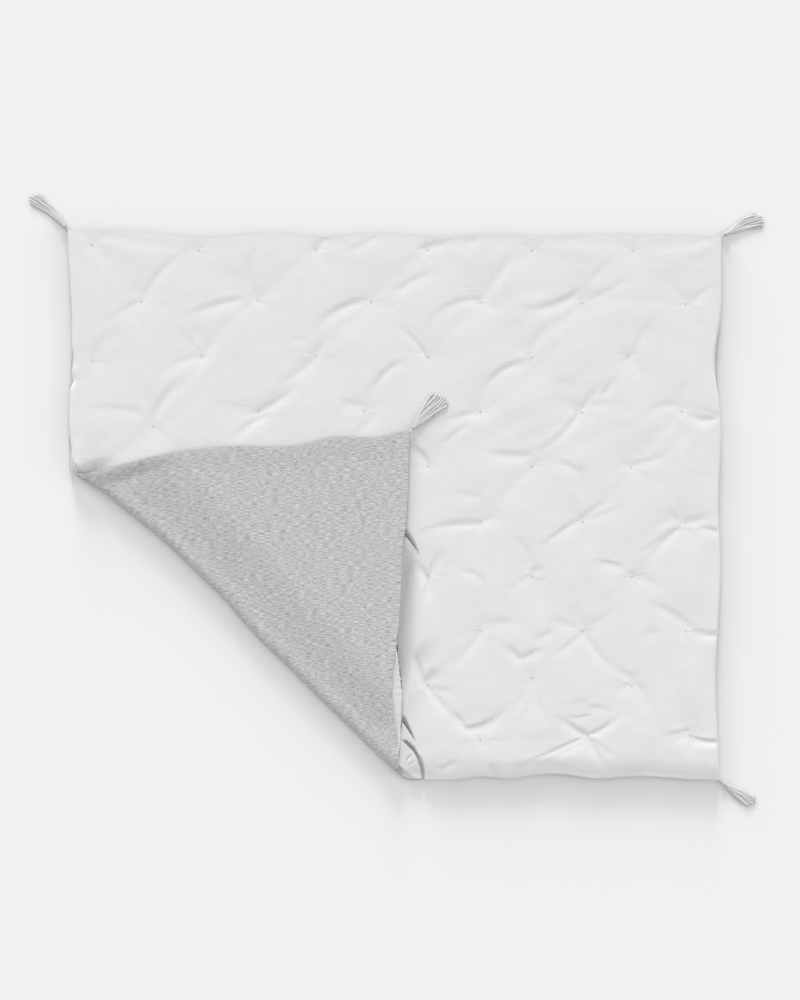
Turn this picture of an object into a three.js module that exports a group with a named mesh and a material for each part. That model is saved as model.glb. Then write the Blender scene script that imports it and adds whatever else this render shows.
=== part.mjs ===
// A crib duvet lying flat with one corner turned back over its middle.
//
// The white face is tufted through its filling and puffs up between the tufts. The back is one
// plain jersey panel, joined to the face along the outer seam only, so it shows on the turned-back
// corner. A tassel hangs from each corner: a cord sewn into the seam, a wrapped neck and a skirt of
// yarn.
//
// Millimetres, +Z up, the surface that it lies on at z = 0. A point of the cloth is (u, v): u from
// the left edge, v from the bottom edge, before the corner is turned. A plan point is [x, y].
import * as THREE from "three";

// ---------------------------------------------------------------- driving sizes
const WIDTH = 1200;
const LENGTH = 1000;

const SEAM = { thick: 3, drawnIn: 62, lift: 5, liftReach: 45, cornerReach: 70 };
const PUFF = { crown: 17, tuft: 4, sharpness: 0.6 };
const TUFTS = {
  columns: 12,
  rows: 10,
  firstColumn: 47,
  firstRow: 975,
  across: 99,
  down: 100,
  dimple: 18,
};
const JERSEY = 1.5;
const PLY_GAP = 0.3;
const REST_GAP = 2;

// Where the four corners of the cloth lie before one is turned back.
const CORNERS = {
  topLeft: [-611, 495],
  topRight: [591, 484],
  bottomRight: [587, -515],
  bottomLeft: [-604, -513],
};

// The tufts drift sideways across the middle of the duvet, where the cloth has been pushed along.
const DRIFT = { by: 19, from: 200, to: 1100 };

// Where the cloth has been pushed along locally: the middle of the place, how far round it the push
// reaches, and how far it goes. A push dies out on the way to an edge.
const PUSHES = [
  { u: 146, v: 675, reach: 150, x: 10, y: -30 },
  { u: 47, v: 775, reach: 110, x: -2, y: -14 },
  { u: 245, v: 975, reach: 110, x: -13, y: 0 },
  { u: 146, v: 875, reach: 110, x: -9, y: -3 },
  { u: 542, v: 675, reach: 110, x: -12, y: 0 },
  { u: 1037, v: 780, reach: 200, x: -8, y: 3 },
  { u: 1136, v: 620, reach: 170, x: -9, y: 4 },
  { u: 839, v: 175, reach: 120, x: 0, y: 15 },
  { u: 938, v: 75, reach: 130, x: 9, y: 9 },
  { u: 1136, v: 75, reach: 130, x: 9, y: 9 },
];
const PUSH_FADE = 60;

// How far each stretch of an edge is drawn in from the straight line between its corners.
// at and half are along the edge, from its left or bottom end.
const EDGE_DIPS = [
  { edge: "top", at: 250, half: 150, by: 11 },
  { edge: "top", at: 465, half: 100, by: 8 },
  { edge: "top", at: 665, half: 110, by: 7 },
  { edge: "top", at: 870, half: 90, by: 5 },
  { edge: "right", at: 760, half: 130, by: 8 },
  { edge: "right", at: 510, half: 120, by: 4 },
  { edge: "right", at: 180, half: 200, by: 8 },
  { edge: "left", at: 830, half: 190, by: 7 },
  { edge: "bottom", at: 745, half: 60, by: 6 },
  { edge: "bottom", at: 880, half: 110, by: 11 },
  { edge: "bottom", at: 1060, half: 110, by: 6 },
];
const DIP_REACH = 70;

// The fold runs along ALONG at LINE from the origin, measured along OUTWARD, which points at the
// turned corner's old place. stretch and shear say how far the cloth gives as the corner is pulled
// over. The filling is packed thinner in the turn and squeezed where the corner lies on it, and the
// layers there bridge most of the hollow of each dimple.
const OUTWARD = [-0.673, -0.7396];
const ALONG = [0.7396, -0.673];
const FOLD = {
  line: 340,
  stretch: 1.095,
  shear: 0.07,
  packed: 12,
  packedReach: 55,
  settle: 95,
  squeeze: 0.85,
  hollow: 0.3,
};

// The outer edge of the fold, and the radius that it turns on, along its length.
const FOLD_EDGE = [
  { along: -480, out: 26, radius: 20 },
  { along: -400, out: 14, radius: 16 },
  { along: -270, out: 7, radius: 15 },
  { along: -150, out: 10, radius: 15 },
  { along: 0, out: 23, radius: 15 },
  { along: 180, out: 29, radius: 15 },
  { along: 300, out: 33, radius: 18 },
  { along: 400, out: 30, radius: 24 },
];

// How far the two free edges of the turned corner bow from straight: the upper edge upwards and the
// right-hand edge to the left. at is the distance from the corner before it is turned.
const UPPER_BOW = [
  { at: 0, by: 0 },
  { at: 60, by: -9 },
  { at: 120, by: -2 },
  { at: 210, by: -14 },
  { at: 330, by: 1 },
  { at: 390, by: 4 },
  { at: 480, by: -2 },
];
const RIGHT_BOW = [
  { at: 0, by: 0 },
  { at: 110, by: -7 },
  { at: 220, by: 2 },
  { at: 300, by: 3 },
  { at: 420, by: 15 },
  { at: 540, by: 12 },
];
const BOW_REACH = 260;

// The lying cloth that has the turned corner on it: up to this far right and up, from this far
// inside the fold, fading out over this distance.
const COVERED = { right: 18, top: 110, fade: 35, reach: 380, reachFade: 80 };

// Each tassel: the corner that it is sewn to, its heading in degrees from +X, the length and the
// half width of its skirt, and how far the skirt bends sideways by its end.
const TASSELS = [
  { name: "top_left", corner: [0, LENGTH], heading: 127, skirt: 71, spread: 13, bend: 8 },
  { name: "top_right", corner: [WIDTH, LENGTH], heading: 30, skirt: 67, spread: 17, bend: -8 },
  { name: "bottom_right", corner: [WIDTH, 0], heading: -38, skirt: 61, spread: 14, bend: 6 },
  { name: "turned", corner: [0, 0], heading: 50, skirt: 60, spread: 20, bend: -5 },
];
const CORD = { radius: 1.6, length: 7, sides: 8 };
const WRAP = { radius: 3.4, length: 8, sides: 12 };
const SKIRT = { yarns: 9, groove: 0.14, height: 4.5, underside: 3.4, neck: 3.4, sections: 4 };

// How the skirt opens out of its neck: the power of its flare, and the shares of its length in which
// it reaches its height and its grooves their depth.
const FLARE = { power: 0.75, height: 0.3, grooves: 0.4 };

const WHITE = { color: 0xe9e9e8, roughness: 0.92, metalness: 0 };
const HEATHER = { color: 0xc2c1bf, roughness: 0.95, metalness: 0 };
const YARN = { color: 0xdfdfde, roughness: 0.9, metalness: 0 };

// How finely the cloth is divided: along its edges, over the flat, in rows along the fold, closer
// together at its ends, and how clear each kind of point stays of the others.
const MESH = { edgeStep: 39, foldParts: 3, inset: 10, secondInset: 27, pitch: 50 };
const FOLD_ROWS = {
  from: -560,
  to: 520,
  step: 40,
  nearEnds: 20,
  before: [-30],
  turns: 5,
  after: [0, 24],
};
const CLEAR = { edge: 1, inset: 5, second: 16, fold: 6.5, tuft: 8, dimple: 12, grid: 22 };

// How many steps clothAt takes, how far apart the points are that give a surface its direction, how
// much of a place is covered for it to count as hidden, and the far corners and the nudge of the
// triangulation.
const SEARCH_STEPS = 12;
const SLOPE_STEP = 1;
const HIDDEN = 0.5;
const FAR = 1e6;
const NUDGE = { by: 1e-3, turn: 12.9898 };

// ---------------------------------------------------------------- small helpers
const clamp = THREE.MathUtils.clamp;
const lerp = THREE.MathUtils.lerp;
const smooth = (x, from, to) => THREE.MathUtils.smoothstep(x, from, to);
const dot = (a, b) => a[0] * b[0] + a[1] * b[1];

// The value of a column of a table at a place along its key column, eased between the rows.
function fromTable(table, key, place, column) {
  if (place <= table[0][key]) return table[0][column];
  const next = table.findIndex((row) => place <= row[key]);
  if (next < 0) return table.at(-1)[column];
  const [a, b] = [table[next - 1], table[next]];
  return lerp(a[column], b[column], smooth(place, a[key], b[key]));
}

// 1 in the middle of a stretch, falling smoothly to 0 at its two ends.
const bump = (x, middle, half) => 1 - smooth(Math.abs(x - middle), 0, half);

const fromEdge = (u, v) => Math.min(u, WIDTH - u, v, LENGTH - v);

// ---------------------------------------------------------------- the cloth as it lies
// The plan point of (u, v) with no corner turned.
function laid(u, v) {
  const [s, t] = [u / WIDTH, v / LENGTH];
  const corner = (k) =>
    (1 - s) * (1 - t) * CORNERS.bottomLeft[k] +
    s * (1 - t) * CORNERS.bottomRight[k] +
    s * t * CORNERS.topRight[k] +
    (1 - s) * t * CORNERS.topLeft[k];
  let [x, y] = [corner(0), corner(1)];
  const drift = clamp((u - DRIFT.from) / (DRIFT.to - DRIFT.from), 0, 1);
  x += DRIFT.by * Math.sin(Math.PI * drift) ** 2;
  for (const dip of EDGE_DIPS) {
    const level = dip.edge === "top" || dip.edge === "bottom";
    const share = dip.by * bump(level ? u : v, dip.at, dip.half);
    if (dip.edge === "top") y -= share * (1 - smooth(LENGTH - v, 0, DIP_REACH));
    if (dip.edge === "bottom") y += share * (1 - smooth(v, 0, DIP_REACH));
    if (dip.edge === "left") x += share * (1 - smooth(u, 0, DIP_REACH));
    if (dip.edge === "right") x -= share * (1 - smooth(WIDTH - u, 0, DIP_REACH));
  }
  for (const push of PUSHES) {
    const share = 1 - smooth(Math.hypot(u - push.u, v - push.v), 0, push.reach);
    const inside = smooth(fromEdge(u, v), 0, PUSH_FADE);
    x += push.x * share * inside;
    y += push.y * share * inside;
  }
  return [x, y];
}

// The cloth point whose plan point is [x, y], found by stepping towards it.
function clothAt([x, y]) {
  let [u, v] = [x + WIDTH / 2, y + LENGTH / 2];
  for (let step = 0; step < SEARCH_STEPS; step += 1) {
    const [px, py] = laid(u, v);
    u += x - px;
    v += y - py;
  }
  return [u, v];
}

// The fold at a place along it: the radius that it turns on, and how far out it starts to rise.
function foldAt(at) {
  const radius = fromTable(FOLD_EDGE, "along", at, "radius");
  return { radius, start: FOLD.line + fromTable(FOLD_EDGE, "along", at, "out") - radius };
}

// Where a plan point is against the fold: past is how far it lies beyond the line where the cloth
// starts to rise, and turn is where it has come right over.
function foldPlace(plan) {
  const at = dot(plan, ALONG);
  const { radius, start } = foldAt(at);
  const past = (dot(plan, OUTWARD) - start) * FOLD.stretch;
  return { at, radius, start, past, turn: Math.PI * radius };
}

// ---------------------------------------------------------------- how thick the filling is
// 0 at a tuft and 1 halfway to the next tuft in the same row.
function puff(u, v) {
  const across = Math.cos((Math.PI * (u - TUFTS.firstColumn)) / TUFTS.across);
  const down = Math.cos((Math.PI * (v - TUFTS.firstRow)) / TUFTS.down);
  return Math.max(0, (1 - across * down) / 2) ** PUFF.sharpness;
}

// 0 on an edge, rising round to 1 where the drawn-in side ends.
function side(distance) {
  const share = clamp(distance / SEAM.drawnIn, 0, 1);
  return Math.sqrt(1 - (1 - share) ** 2);
}

const edges = (u, v) => side(Math.min(u, WIDTH - u)) * side(Math.min(v, LENGTH - v));

// The thickness of the filled face at (u, v). hollow is 1 for the true surface; a smaller one fills
// the dimples in, as a layer lying over them does.
function loft(u, v, hollow = 1) {
  const crown = 1 - hollow + hollow * puff(u, v);
  const full = SEAM.thick + (PUFF.tuft + (PUFF.crown - PUFF.tuft) * crown) * edges(u, v);
  const plan = laid(u, v);
  const { past, turn } = foldPlace(plan);
  const away = Math.max(0, -past, past - turn);
  const loose = full * lerp(1, FOLD.squeeze, past > 0 ? 1 : covered(plan, past));
  return lerp(Math.min(full, FOLD.packed), loose, smooth(away, 0, FOLD.packedReach));
}

// 1 for the lying cloth that has the turned corner on it, 0 clear of it.
function covered([x, y], past) {
  const left = 1 - smooth(x, COVERED.right, COVERED.right + COVERED.fade);
  const below = 1 - smooth(y, COVERED.top, COVERED.top + COVERED.fade);
  const near = 1 - smooth(-past, COVERED.reach, COVERED.reach + COVERED.reachFade);
  return Math.min(left, below) * near;
}

// ---------------------------------------------------------------- the seam surface, folded
// The point of the back panel's inner face at (u, v).
function seamPoint(u, v) {
  const plan = laid(u, v);
  const { at, radius, start, past, turn } = foldPlace(plan);
  if (past <= 0) return new THREE.Vector3(...plan, JERSEY + edgeLift(u, v, past));
  const out = past < turn ? radius * Math.sin(past / radius) : turn - past;
  const given = (FOLD.shear * past) / FOLD.stretch;
  const height = past < turn ? radius * (1 - Math.cos(past / radius)) : 2 * radius;
  const [x, y] = [0, 1].map((k) => OUTWARD[k] * (start + out) + ALONG[k] * (at + given));
  const point = new THREE.Vector3(x, y, JERSEY + height);
  return past < turn ? point : settled(u, v, point, past - turn);
}

// How far the lying cloth's edge is drawn up off the surface under it. It lies flat at the corners,
// under the middle and by the fold.
function edgeLift(u, v, past) {
  const [toSide, toEnd] = [Math.min(u, WIDTH - u), Math.min(v, LENGTH - v)];
  const nearEdge = 1 - smooth(Math.min(toSide, toEnd), 0, SEAM.liftReach);
  const offCorner = smooth(Math.max(toSide, toEnd), 0, SEAM.cornerReach);
  return SEAM.lift * nearEdge * offCorner * smooth(-past, 0, FOLD.packedReach);
}

// A point of the turned corner, that has come beyond the turn of the fold, let down onto the cloth
// under it and bowed at the free edges.
function settled(u, v, point, beyond) {
  const free = smooth(beyond, 0, FOLD.settle);
  const bowUp = fromTable(UPPER_BOW, "at", v, "by") * (1 - smooth(u, 0, BOW_REACH));
  const bowLeft = fromTable(RIGHT_BOW, "at", u, "by") * (1 - smooth(v, 0, BOW_REACH));
  const [x, y] = [point.x - free * bowLeft, point.y + free * bowUp];
  const bed = JERSEY + PLY_GAP + loft(...clothAt([x, y]), FOLD.hollow);
  const resting = bed + REST_GAP + loft(u, v, FOLD.hollow) + PLY_GAP;
  return new THREE.Vector3(x, y, Math.max(resting, lerp(point.z, resting, free)));
}

// A point depth into the filling from the seam surface, or out through the back panel where depth
// is negative.
function layerPoint(u, v, depth) {
  const across = seamPoint(u + SLOPE_STEP, v).sub(seamPoint(u - SLOPE_STEP, v));
  const up = seamPoint(u, v + SLOPE_STEP).sub(seamPoint(u, v - SLOPE_STEP));
  const inward = across.cross(up).normalize();
  return seamPoint(u, v).addScaledVector(inward, depth).toArray();
}

// ---------------------------------------------------------------- the points of the cloth mesh
// Places all round the edge, closer together where it goes round the fold.
function edgePlaces() {
  const corners = [[0, 0], [WIDTH, 0], [WIDTH, LENGTH], [0, LENGTH]];
  const places = [];
  corners.forEach((from, k) => {
    const to = corners[(k + 1) % corners.length];
    const steps = Math.round(Math.hypot(to[0] - from[0], to[1] - from[1]) / MESH.edgeStep);
    for (let s = 0; s < steps; s += 1) {
      const at = (share) => [lerp(from[0], to[0], share), lerp(from[1], to[1], share)];
      const { past, turn } = foldPlace(laid(...at((s + 0.5) / steps)));
      const turning = past > -MESH.edgeStep && past < turn + MESH.edgeStep;
      const parts = turning ? MESH.foldParts : 1;
      for (let part = 0; part < parts; part += 1) places.push(at((s + part / parts) / steps));
    }
  });
  return places;
}

// Places where the mesh has a corner: around the edge and in rings inside it, on the tufts and
// around them, on a grid between them, and in rows that follow the fold.
function clothPoints() {
  const points = [];
  const tooNear = (u, v, clear) =>
    points.some(([a, b]) => Math.hypot(a - u, b - v) < clear);
  const add = (u, v, clear) => {
    if (u < 0 || v < 0 || u > WIDTH || v > LENGTH || tooNear(u, v, clear)) return;
    points.push([u, v]);
  };

  const ring = (inset, clear) => {
    for (const [u, v] of edgePlaces()) {
      add(clamp(u, inset, WIDTH - inset), clamp(v, inset, LENGTH - inset), clear);
    }
  };
  ring(0, CLEAR.edge);
  ring(MESH.inset, CLEAR.inset);

  let at = FOLD_ROWS.from;
  while (at <= FOLD_ROWS.to) {
    const { radius, start } = foldAt(at);
    const turn = Math.PI * radius;
    const turns = Array.from({ length: FOLD_ROWS.turns }, (_, k) => (k * turn) / FOLD_ROWS.turns);
    const after = FOLD_ROWS.after.map((past) => turn + past);
    for (const past of [...FOLD_ROWS.before, ...turns, ...after]) {
      const out = start + past / FOLD.stretch;
      const [u, v] = clothAt([0, 1].map((k) => OUTWARD[k] * out + ALONG[k] * at));
      if (fromEdge(u, v) > MESH.inset + CLEAR.inset) add(u, v, CLEAR.fold);
    }
    const nearEnd = at < FOLD_EDGE[1].along || at >= FOLD_EDGE.at(-2).along;
    at += nearEnd ? FOLD_ROWS.nearEnds : FOLD_ROWS.step;
  }
  ring(MESH.secondInset, CLEAR.second);

  const where = (u, v) => {
    const plan = laid(u, v);
    const { past, turn } = foldPlace(plan);
    const folding = past > -MESH.pitch && past < turn + MESH.pitch;
    return { folding, hidden: past > 0 || covered(plan, past) > HIDDEN };
  };
  for (let i = 0; i < TUFTS.columns; i += 1) {
    for (let j = i % 2; j < TUFTS.rows; j += 2) {
      const u = TUFTS.firstColumn + i * TUFTS.across;
      const v = TUFTS.firstRow - j * TUFTS.down;
      const { folding, hidden } = where(u, v);
      if (!folding) add(u, v, CLEAR.tuft);
      if (folding || hidden) continue;
      for (const [across, up] of [[1, 0], [0, 1], [-1, 0], [0, -1]]) {
        add(u + TUFTS.dimple * across, v + TUFTS.dimple * up, CLEAR.dimple);
      }
    }
  }
  for (let u = MESH.pitch; u < WIDTH; u += MESH.pitch) {
    for (let v = MESH.pitch / 2; v < LENGTH; v += MESH.pitch) {
      if (!where(u, v).folding) add(u, v, CLEAR.grid);
    }
  }
  return points;
}

// ---------------------------------------------------------------- triangles between the points
// A Delaunay triangulation: each new point replaces the triangles whose circle it falls in. Points
// inside the cloth are nudged a little first, so that no four of them share a circle.
function triangulate(points) {
  const all = points.map(([u, v], k) => {
    if (fromEdge(u, v) === 0) return [u, v];
    const turn = k * NUDGE.turn;
    return [u + NUDGE.by * Math.sin(turn), v + NUDGE.by * Math.cos(turn)];
  });
  const n = points.length;
  all.push([-FAR, -FAR], [FAR, -FAR], [0, FAR]);
  const circle = (a, b, c) => {
    const [[ax, ay], [bx, by], [cx, cy]] = [all[a], all[b], all[c]];
    const d = 2 * (ax * (by - cy) + bx * (cy - ay) + cx * (ay - by));
    const [a2, b2, c2] = [ax * ax + ay * ay, bx * bx + by * by, cx * cx + cy * cy];
    const x = (a2 * (by - cy) + b2 * (cy - ay) + c2 * (ay - by)) / d;
    const y = (a2 * (cx - bx) + b2 * (ax - cx) + c2 * (bx - ax)) / d;
    return { corners: [a, b, c], x, y, r2: (ax - x) ** 2 + (ay - y) ** 2 };
  };
  let triangles = [circle(n, n + 1, n + 2)];
  for (let p = 0; p < n; p += 1) {
    const [px, py] = all[p];
    const open = new Map();
    triangles = triangles.filter((t) => {
      if ((px - t.x) ** 2 + (py - t.y) ** 2 >= t.r2) return true;
      t.corners.forEach((a, k) => {
        const b = t.corners[(k + 1) % 3];
        if (!open.delete(`${b},${a}`)) open.set(`${a},${b}`, [a, b]);
      });
      return false;
    });
    for (const [a, b] of open.values()) triangles.push(circle(a, b, p));
  }
  return triangles.map((t) => t.corners).filter((corners) => corners.every((k) => k < n));
}

// The edges of a triangulation that only one triangle has, in the order of that triangle.
function outline(triangles) {
  const open = new Map();
  for (const corners of triangles) {
    corners.forEach((a, k) => {
      const b = corners[(k + 1) % 3];
      if (!open.delete(`${b},${a}`)) open.set(`${a},${b}`, [a, b]);
    });
  }
  return [...open.values()];
}

// A closed solid between two layers that share one triangulation.
function slab(upper, lower, triangles) {
  const n = upper.length;
  const index = [];
  for (const [a, b, c] of triangles) index.push(a, b, c, n + a, n + c, n + b);
  for (const [a, b] of outline(triangles)) index.push(a, n + b, b, a, n + a, n + b);
  const geometry = new THREE.BufferGeometry();
  geometry.setAttribute("position", new THREE.Float32BufferAttribute([...upper, ...lower].flat(), 3));
  geometry.setIndex(index);
  geometry.computeVertexNormals();
  return geometry;
}

// ---------------------------------------------------------------- the pieces
function named(name, geometry, finish) {
  const mesh = new THREE.Mesh(geometry, new THREE.MeshStandardMaterial(finish));
  mesh.name = name;
  return mesh;
}

function duvet() {
  const points = clothPoints();
  const triangles = triangulate(points);
  const top = points.map(([u, v]) => layerPoint(u, v, PLY_GAP + loft(u, v)));
  const base = points.map(([u, v]) => layerPoint(u, v, PLY_GAP));
  const inner = points.map(([u, v]) => layerPoint(u, v, 0));
  const outer = points.map(([u, v]) => layerPoint(u, v, -JERSEY));
  return [
    named("quilted_face", slab(top, base, triangles), WHITE),
    named("back_panel", slab(inner, outer, triangles), HEATHER),
  ];
}

// A closed tube through sections, each a list of points going the same way round.
function loftedTube(sections) {
  const sides = sections[0].length;
  const last = sections.length - 1;
  const points = sections.flat();
  const index = [];
  for (let s = 0; s < last; s += 1) {
    for (let k = 0; k < sides; k += 1) {
      const [a, b] = [s * sides + k, s * sides + ((k + 1) % sides)];
      index.push(a, b, a + sides, b, b + sides, a + sides);
    }
  }
  for (let k = 1; k < sides - 1; k += 1) {
    index.push(0, k + 1, k);
    index.push(last * sides, last * sides + k, last * sides + k + 1);
  }
  const geometry = new THREE.BufferGeometry();
  geometry.setAttribute("position", new THREE.Float32BufferAttribute(points.flat(), 3));
  geometry.setIndex(index);
  geometry.computeVertexNormals();
  return geometry;
}

// A cylinder lying along +X from one x to another.
function rod(from, to, radius, sides) {
  const geometry = new THREE.CylinderGeometry(radius, radius, to - from, sides);
  geometry.rotateZ(-Math.PI / 2);
  geometry.translate((from + to) / 2, 0, 0);
  return geometry;
}

// The skirt lies along +X: a neck that flares into a flat fan, grooved between its yarns, with a
// flat underside.
function skirt({ skirt: length, spread, bend }, from) {
  const sections = [];
  const sides = SKIRT.yarns * 2;
  for (let s = 0; s <= SKIRT.sections; s += 1) {
    const share = s / SKIRT.sections;
    const halfWidth = lerp(SKIRT.neck, spread, share ** FLARE.power);
    const halfHeight = lerp(SKIRT.neck, SKIRT.height, smooth(share, 0, FLARE.height));
    const section = [];
    for (let k = 0; k < sides; k += 1) {
      const angle = (2 * Math.PI * k) / sides;
      const radius = k % 2 ? 1 - SKIRT.groove * smooth(share, 0, FLARE.grooves) : 1;
      const y = halfWidth * radius * Math.cos(angle) + bend * share * share;
      const z = Math.max(halfHeight * radius * Math.sin(angle), -SKIRT.underside);
      section.push([from + length * share, y, z]);
    }
    sections.push(section);
  }
  return loftedTube(sections);
}

// The height of what is under the tassel: the surface that the duvet lies on, or the highest crown
// of the face under the turned corner's tassel.
function tasselBed({ heading, skirt: length }, x, y) {
  const way = THREE.MathUtils.degToRad(heading);
  let highest = 0;
  for (let out = 0; out <= length; out += SKIRT.neck) {
    const [u, v] = clothAt([x + out * Math.cos(way), y + out * Math.sin(way)]);
    const onFace = u > 0 && u < WIDTH && v > 0 && v < LENGTH;
    if (onFace) highest = Math.max(highest, JERSEY + PLY_GAP + loft(u, v) + PLY_GAP);
  }
  return highest;
}

function tassel(row) {
  const [u, v] = row.corner;
  const { x, y } = seamPoint(u, v);
  const group = new THREE.Group();
  const cordEnd = PLY_GAP + CORD.length;
  const wrapEnd = cordEnd + PLY_GAP + WRAP.length;
  group.add(
    named(`tassel_${row.name}_cord`, rod(PLY_GAP, cordEnd, CORD.radius, CORD.sides), YARN),
    named(`tassel_${row.name}_wrap`, rod(cordEnd + PLY_GAP, wrapEnd, WRAP.radius, WRAP.sides), YARN),
    named(`tassel_${row.name}_skirt`, skirt(row, wrapEnd + PLY_GAP), YARN),
  );
  group.position.set(x, y, tasselBed(row, x, y) + SKIRT.underside);
  group.rotation.z = THREE.MathUtils.degToRad(row.heading);
  return group;
}

// ---------------------------------------------------------------- the whole
const model = new THREE.Group();
model.add(...duvet(), ...TASSELS.map(tassel));
const middle = new THREE.Box3().setFromObject(model).getCenter(new THREE.Vector3());
model.position.set(-middle.x, -middle.y, 0);

export default model;
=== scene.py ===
import math

import bpy
import numpy as np

from mathutils.bvhtree import BVHTree
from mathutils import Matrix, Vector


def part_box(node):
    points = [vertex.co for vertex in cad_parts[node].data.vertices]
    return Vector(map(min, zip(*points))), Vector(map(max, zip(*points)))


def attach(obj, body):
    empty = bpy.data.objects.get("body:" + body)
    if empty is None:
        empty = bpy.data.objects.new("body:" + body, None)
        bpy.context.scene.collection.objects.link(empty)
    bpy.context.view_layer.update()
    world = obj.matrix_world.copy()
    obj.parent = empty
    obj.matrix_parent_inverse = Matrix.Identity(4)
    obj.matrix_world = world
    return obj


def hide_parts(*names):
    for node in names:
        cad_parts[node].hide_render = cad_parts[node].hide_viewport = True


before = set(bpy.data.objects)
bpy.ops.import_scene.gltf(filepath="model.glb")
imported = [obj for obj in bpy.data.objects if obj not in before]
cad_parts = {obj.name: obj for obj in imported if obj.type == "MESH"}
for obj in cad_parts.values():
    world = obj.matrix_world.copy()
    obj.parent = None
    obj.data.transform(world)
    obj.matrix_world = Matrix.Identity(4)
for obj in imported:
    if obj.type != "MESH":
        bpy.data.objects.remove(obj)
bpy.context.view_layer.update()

MM = 0.001
UP = np.array([0.0, 0.0, 1.0])


def table(columns, *rows):
    """The rows of a table, each a dictionary of its values under the columns' names."""
    return [dict(zip(columns.split(), row)) for row in rows]


# ---------------------------------------------------------------- sizes shared with the model
WIDTH, LENGTH = 1200 * MM, 1000 * MM
JERSEY = 1.5 * MM
PLY_GAP = 0.3 * MM
REST_GAP = 2 * MM

# The tufts are every other crossing of these columns and rows.
TUFT_COLUMNS, TUFT_ROWS = 12, 10
TUFT_ACROSS, TUFT_DOWN = 99 * MM, 100 * MM
FIRST_COLUMN, FIRST_ROW = 47 * MM, 975 * MM

# The tables are in millimetres. First the corners' plan points, the sideways drift of the middle of
# the cloth, the places where it is pushed in plan, and those where its edges dip inwards.
TOP_LEFT, TOP_RIGHT = (-611, 495), (591, 484)
BOTTOM_LEFT, BOTTOM_RIGHT = (-604, -513), (587, -515)
DRIFT = {"by": 19, "from": 200, "to": 1100}
PUSHES = table(
    "u v reach x y",
    (146, 675, 150, 10, -30),
    (47, 775, 110, -2, -14),
    (245, 975, 110, -13, 0),
    (146, 875, 110, -9, -3),
    (542, 675, 110, -12, 0),
    (1037, 780, 200, -8, 3),
    (1136, 620, 170, -9, 4),
    (839, 175, 120, 0, 15),
    (938, 75, 130, 9, 9),
    (1136, 75, 130, 9, 9),
)
PUSH_FADE = 60 * MM
EDGE_DIPS = table(
    "edge at half by",
    ("top", 250, 150, 11),
    ("top", 465, 100, 8),
    ("top", 665, 110, 7),
    ("top", 870, 90, 5),
    ("right", 760, 130, 8),
    ("right", 510, 120, 4),
    ("right", 180, 200, 8),
    ("left", 830, 190, 7),
    ("bottom", 745, 60, 6),
    ("bottom", 880, 110, 11),
    ("bottom", 1060, 110, 6),
)
DIP_REACH = 70 * MM

# The fold: which way is outward from it and which way is along it, and its line. The cloth gives by
# stretch and shear as the corner is pulled over. FOLD_EDGE says how far out the fold's edge lies and
# how round it is, at places along it, and the bows how far the turned corner's two edges stray.
OUTWARD = np.array([-0.673, -0.7396])
ALONG = np.array([0.7396, -0.673])
FOLD_LINE = 340 * MM
FOLD_STRETCH, FOLD_SHEAR = 1.095, 0.07
FOLD_SETTLE = 95 * MM
FOLD_EDGE = table(
    "along out radius",
    (-480, 26, 20),
    (-400, 14, 16),
    (-270, 7, 15),
    (-150, 10, 15),
    (0, 23, 15),
    (180, 29, 15),
    (300, 33, 18),
    (400, 30, 24),
)
UPPER_BOW = table("at by", (0, 0), (60, -9), (120, -2), (210, -14), (330, 1), (390, 4), (480, -2))
RIGHT_BOW = table("at by", (0, 0), (110, -7), (220, 2), (300, 3), (420, 15), (540, 12))
BOW_REACH = 260 * MM

# The tassels: each one's corner of the cloth, the way it lies in degrees, and its skirt's length,
# half width and sideways bend. Then the cord of two twisted yarns, the wrap, the skirts' yarns with
# how many of them lie in each storey, and the tufts' tacks of thread.
TASSELS = table(
    "name corner heading skirt spread bend",
    ("top_left", (0, 1), 127, 76, 14, 13),
    ("top_right", (1, 1), 30, 67, 17, -8),
    ("bottom_right", (1, 0), -38, 61, 14, 6),
    ("turned", (0, 0), 50, 73, 23, -4),
)
CORD_LENGTH, CORD_YARN, CORD_SWAY, CORD_TWIST = 7 * MM, 1.1 * MM, 1.2 * MM, 3.5 * math.pi
WRAP_RADIUS, WRAP_LENGTH, WRAP_TURNS = 3.4 * MM, 8 * MM, 6
WRAP_FROM = 2 * PLY_GAP + CORD_LENGTH
SKIRT_YARN, SKIRT_STOREYS, STOREY_HEIGHT = 2.1 * MM, (9, 7), 1.1 * MM
TACK_HALF, TACK_RADIUS, TACK_SINK = 2.4 * MM, 0.5 * MM, 1.1 * MM

# ---------------------------------------------------------------- sizes of the finish
# The grids' steps, with how many of the face's steps its underside takes at once. The face has more
# points near its rim, and in the ranges (in millimetres) where its folds lap over.
FACE_STEP, BACK_STEP, UNDER_SKIP = 5 * MM, 6 * MM, 3
NEAR_RIM = np.array([0.12, 0.5, 1.3, 2.4, 3.4, 4.4]) * MM
BACK_NEAR_RIM = np.array([0.4, 0.8, 1.6]) * MM
FINE_U, FINE_V, FINE_STEP = [(598, 650)], [(6, 122), (402, 464)], 1.5 * MM
LEAST_THICK = 0.8 * MM

# The section of the face's rim below its top, as (how far in from the rim, how far up), and how far
# the rim itself is tucked in under the side wall.
SEAM_ROLL = [(-0.1, 1.4), (-0.2, 0.4), (0.1, -0.9), (2.0, -1.0), (3.0, 0.3)]
SEAM_TUCK = 2.6 * MM

# How far the lying cloth's edge is drawn up off the floor, and over what reaches.
SEAM_LIFT, LIFT_REACH, LIFT_CORNER, LIFT_FOLD = 2.5 * MM, 45 * MM, 70 * MM, 55 * MM

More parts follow.
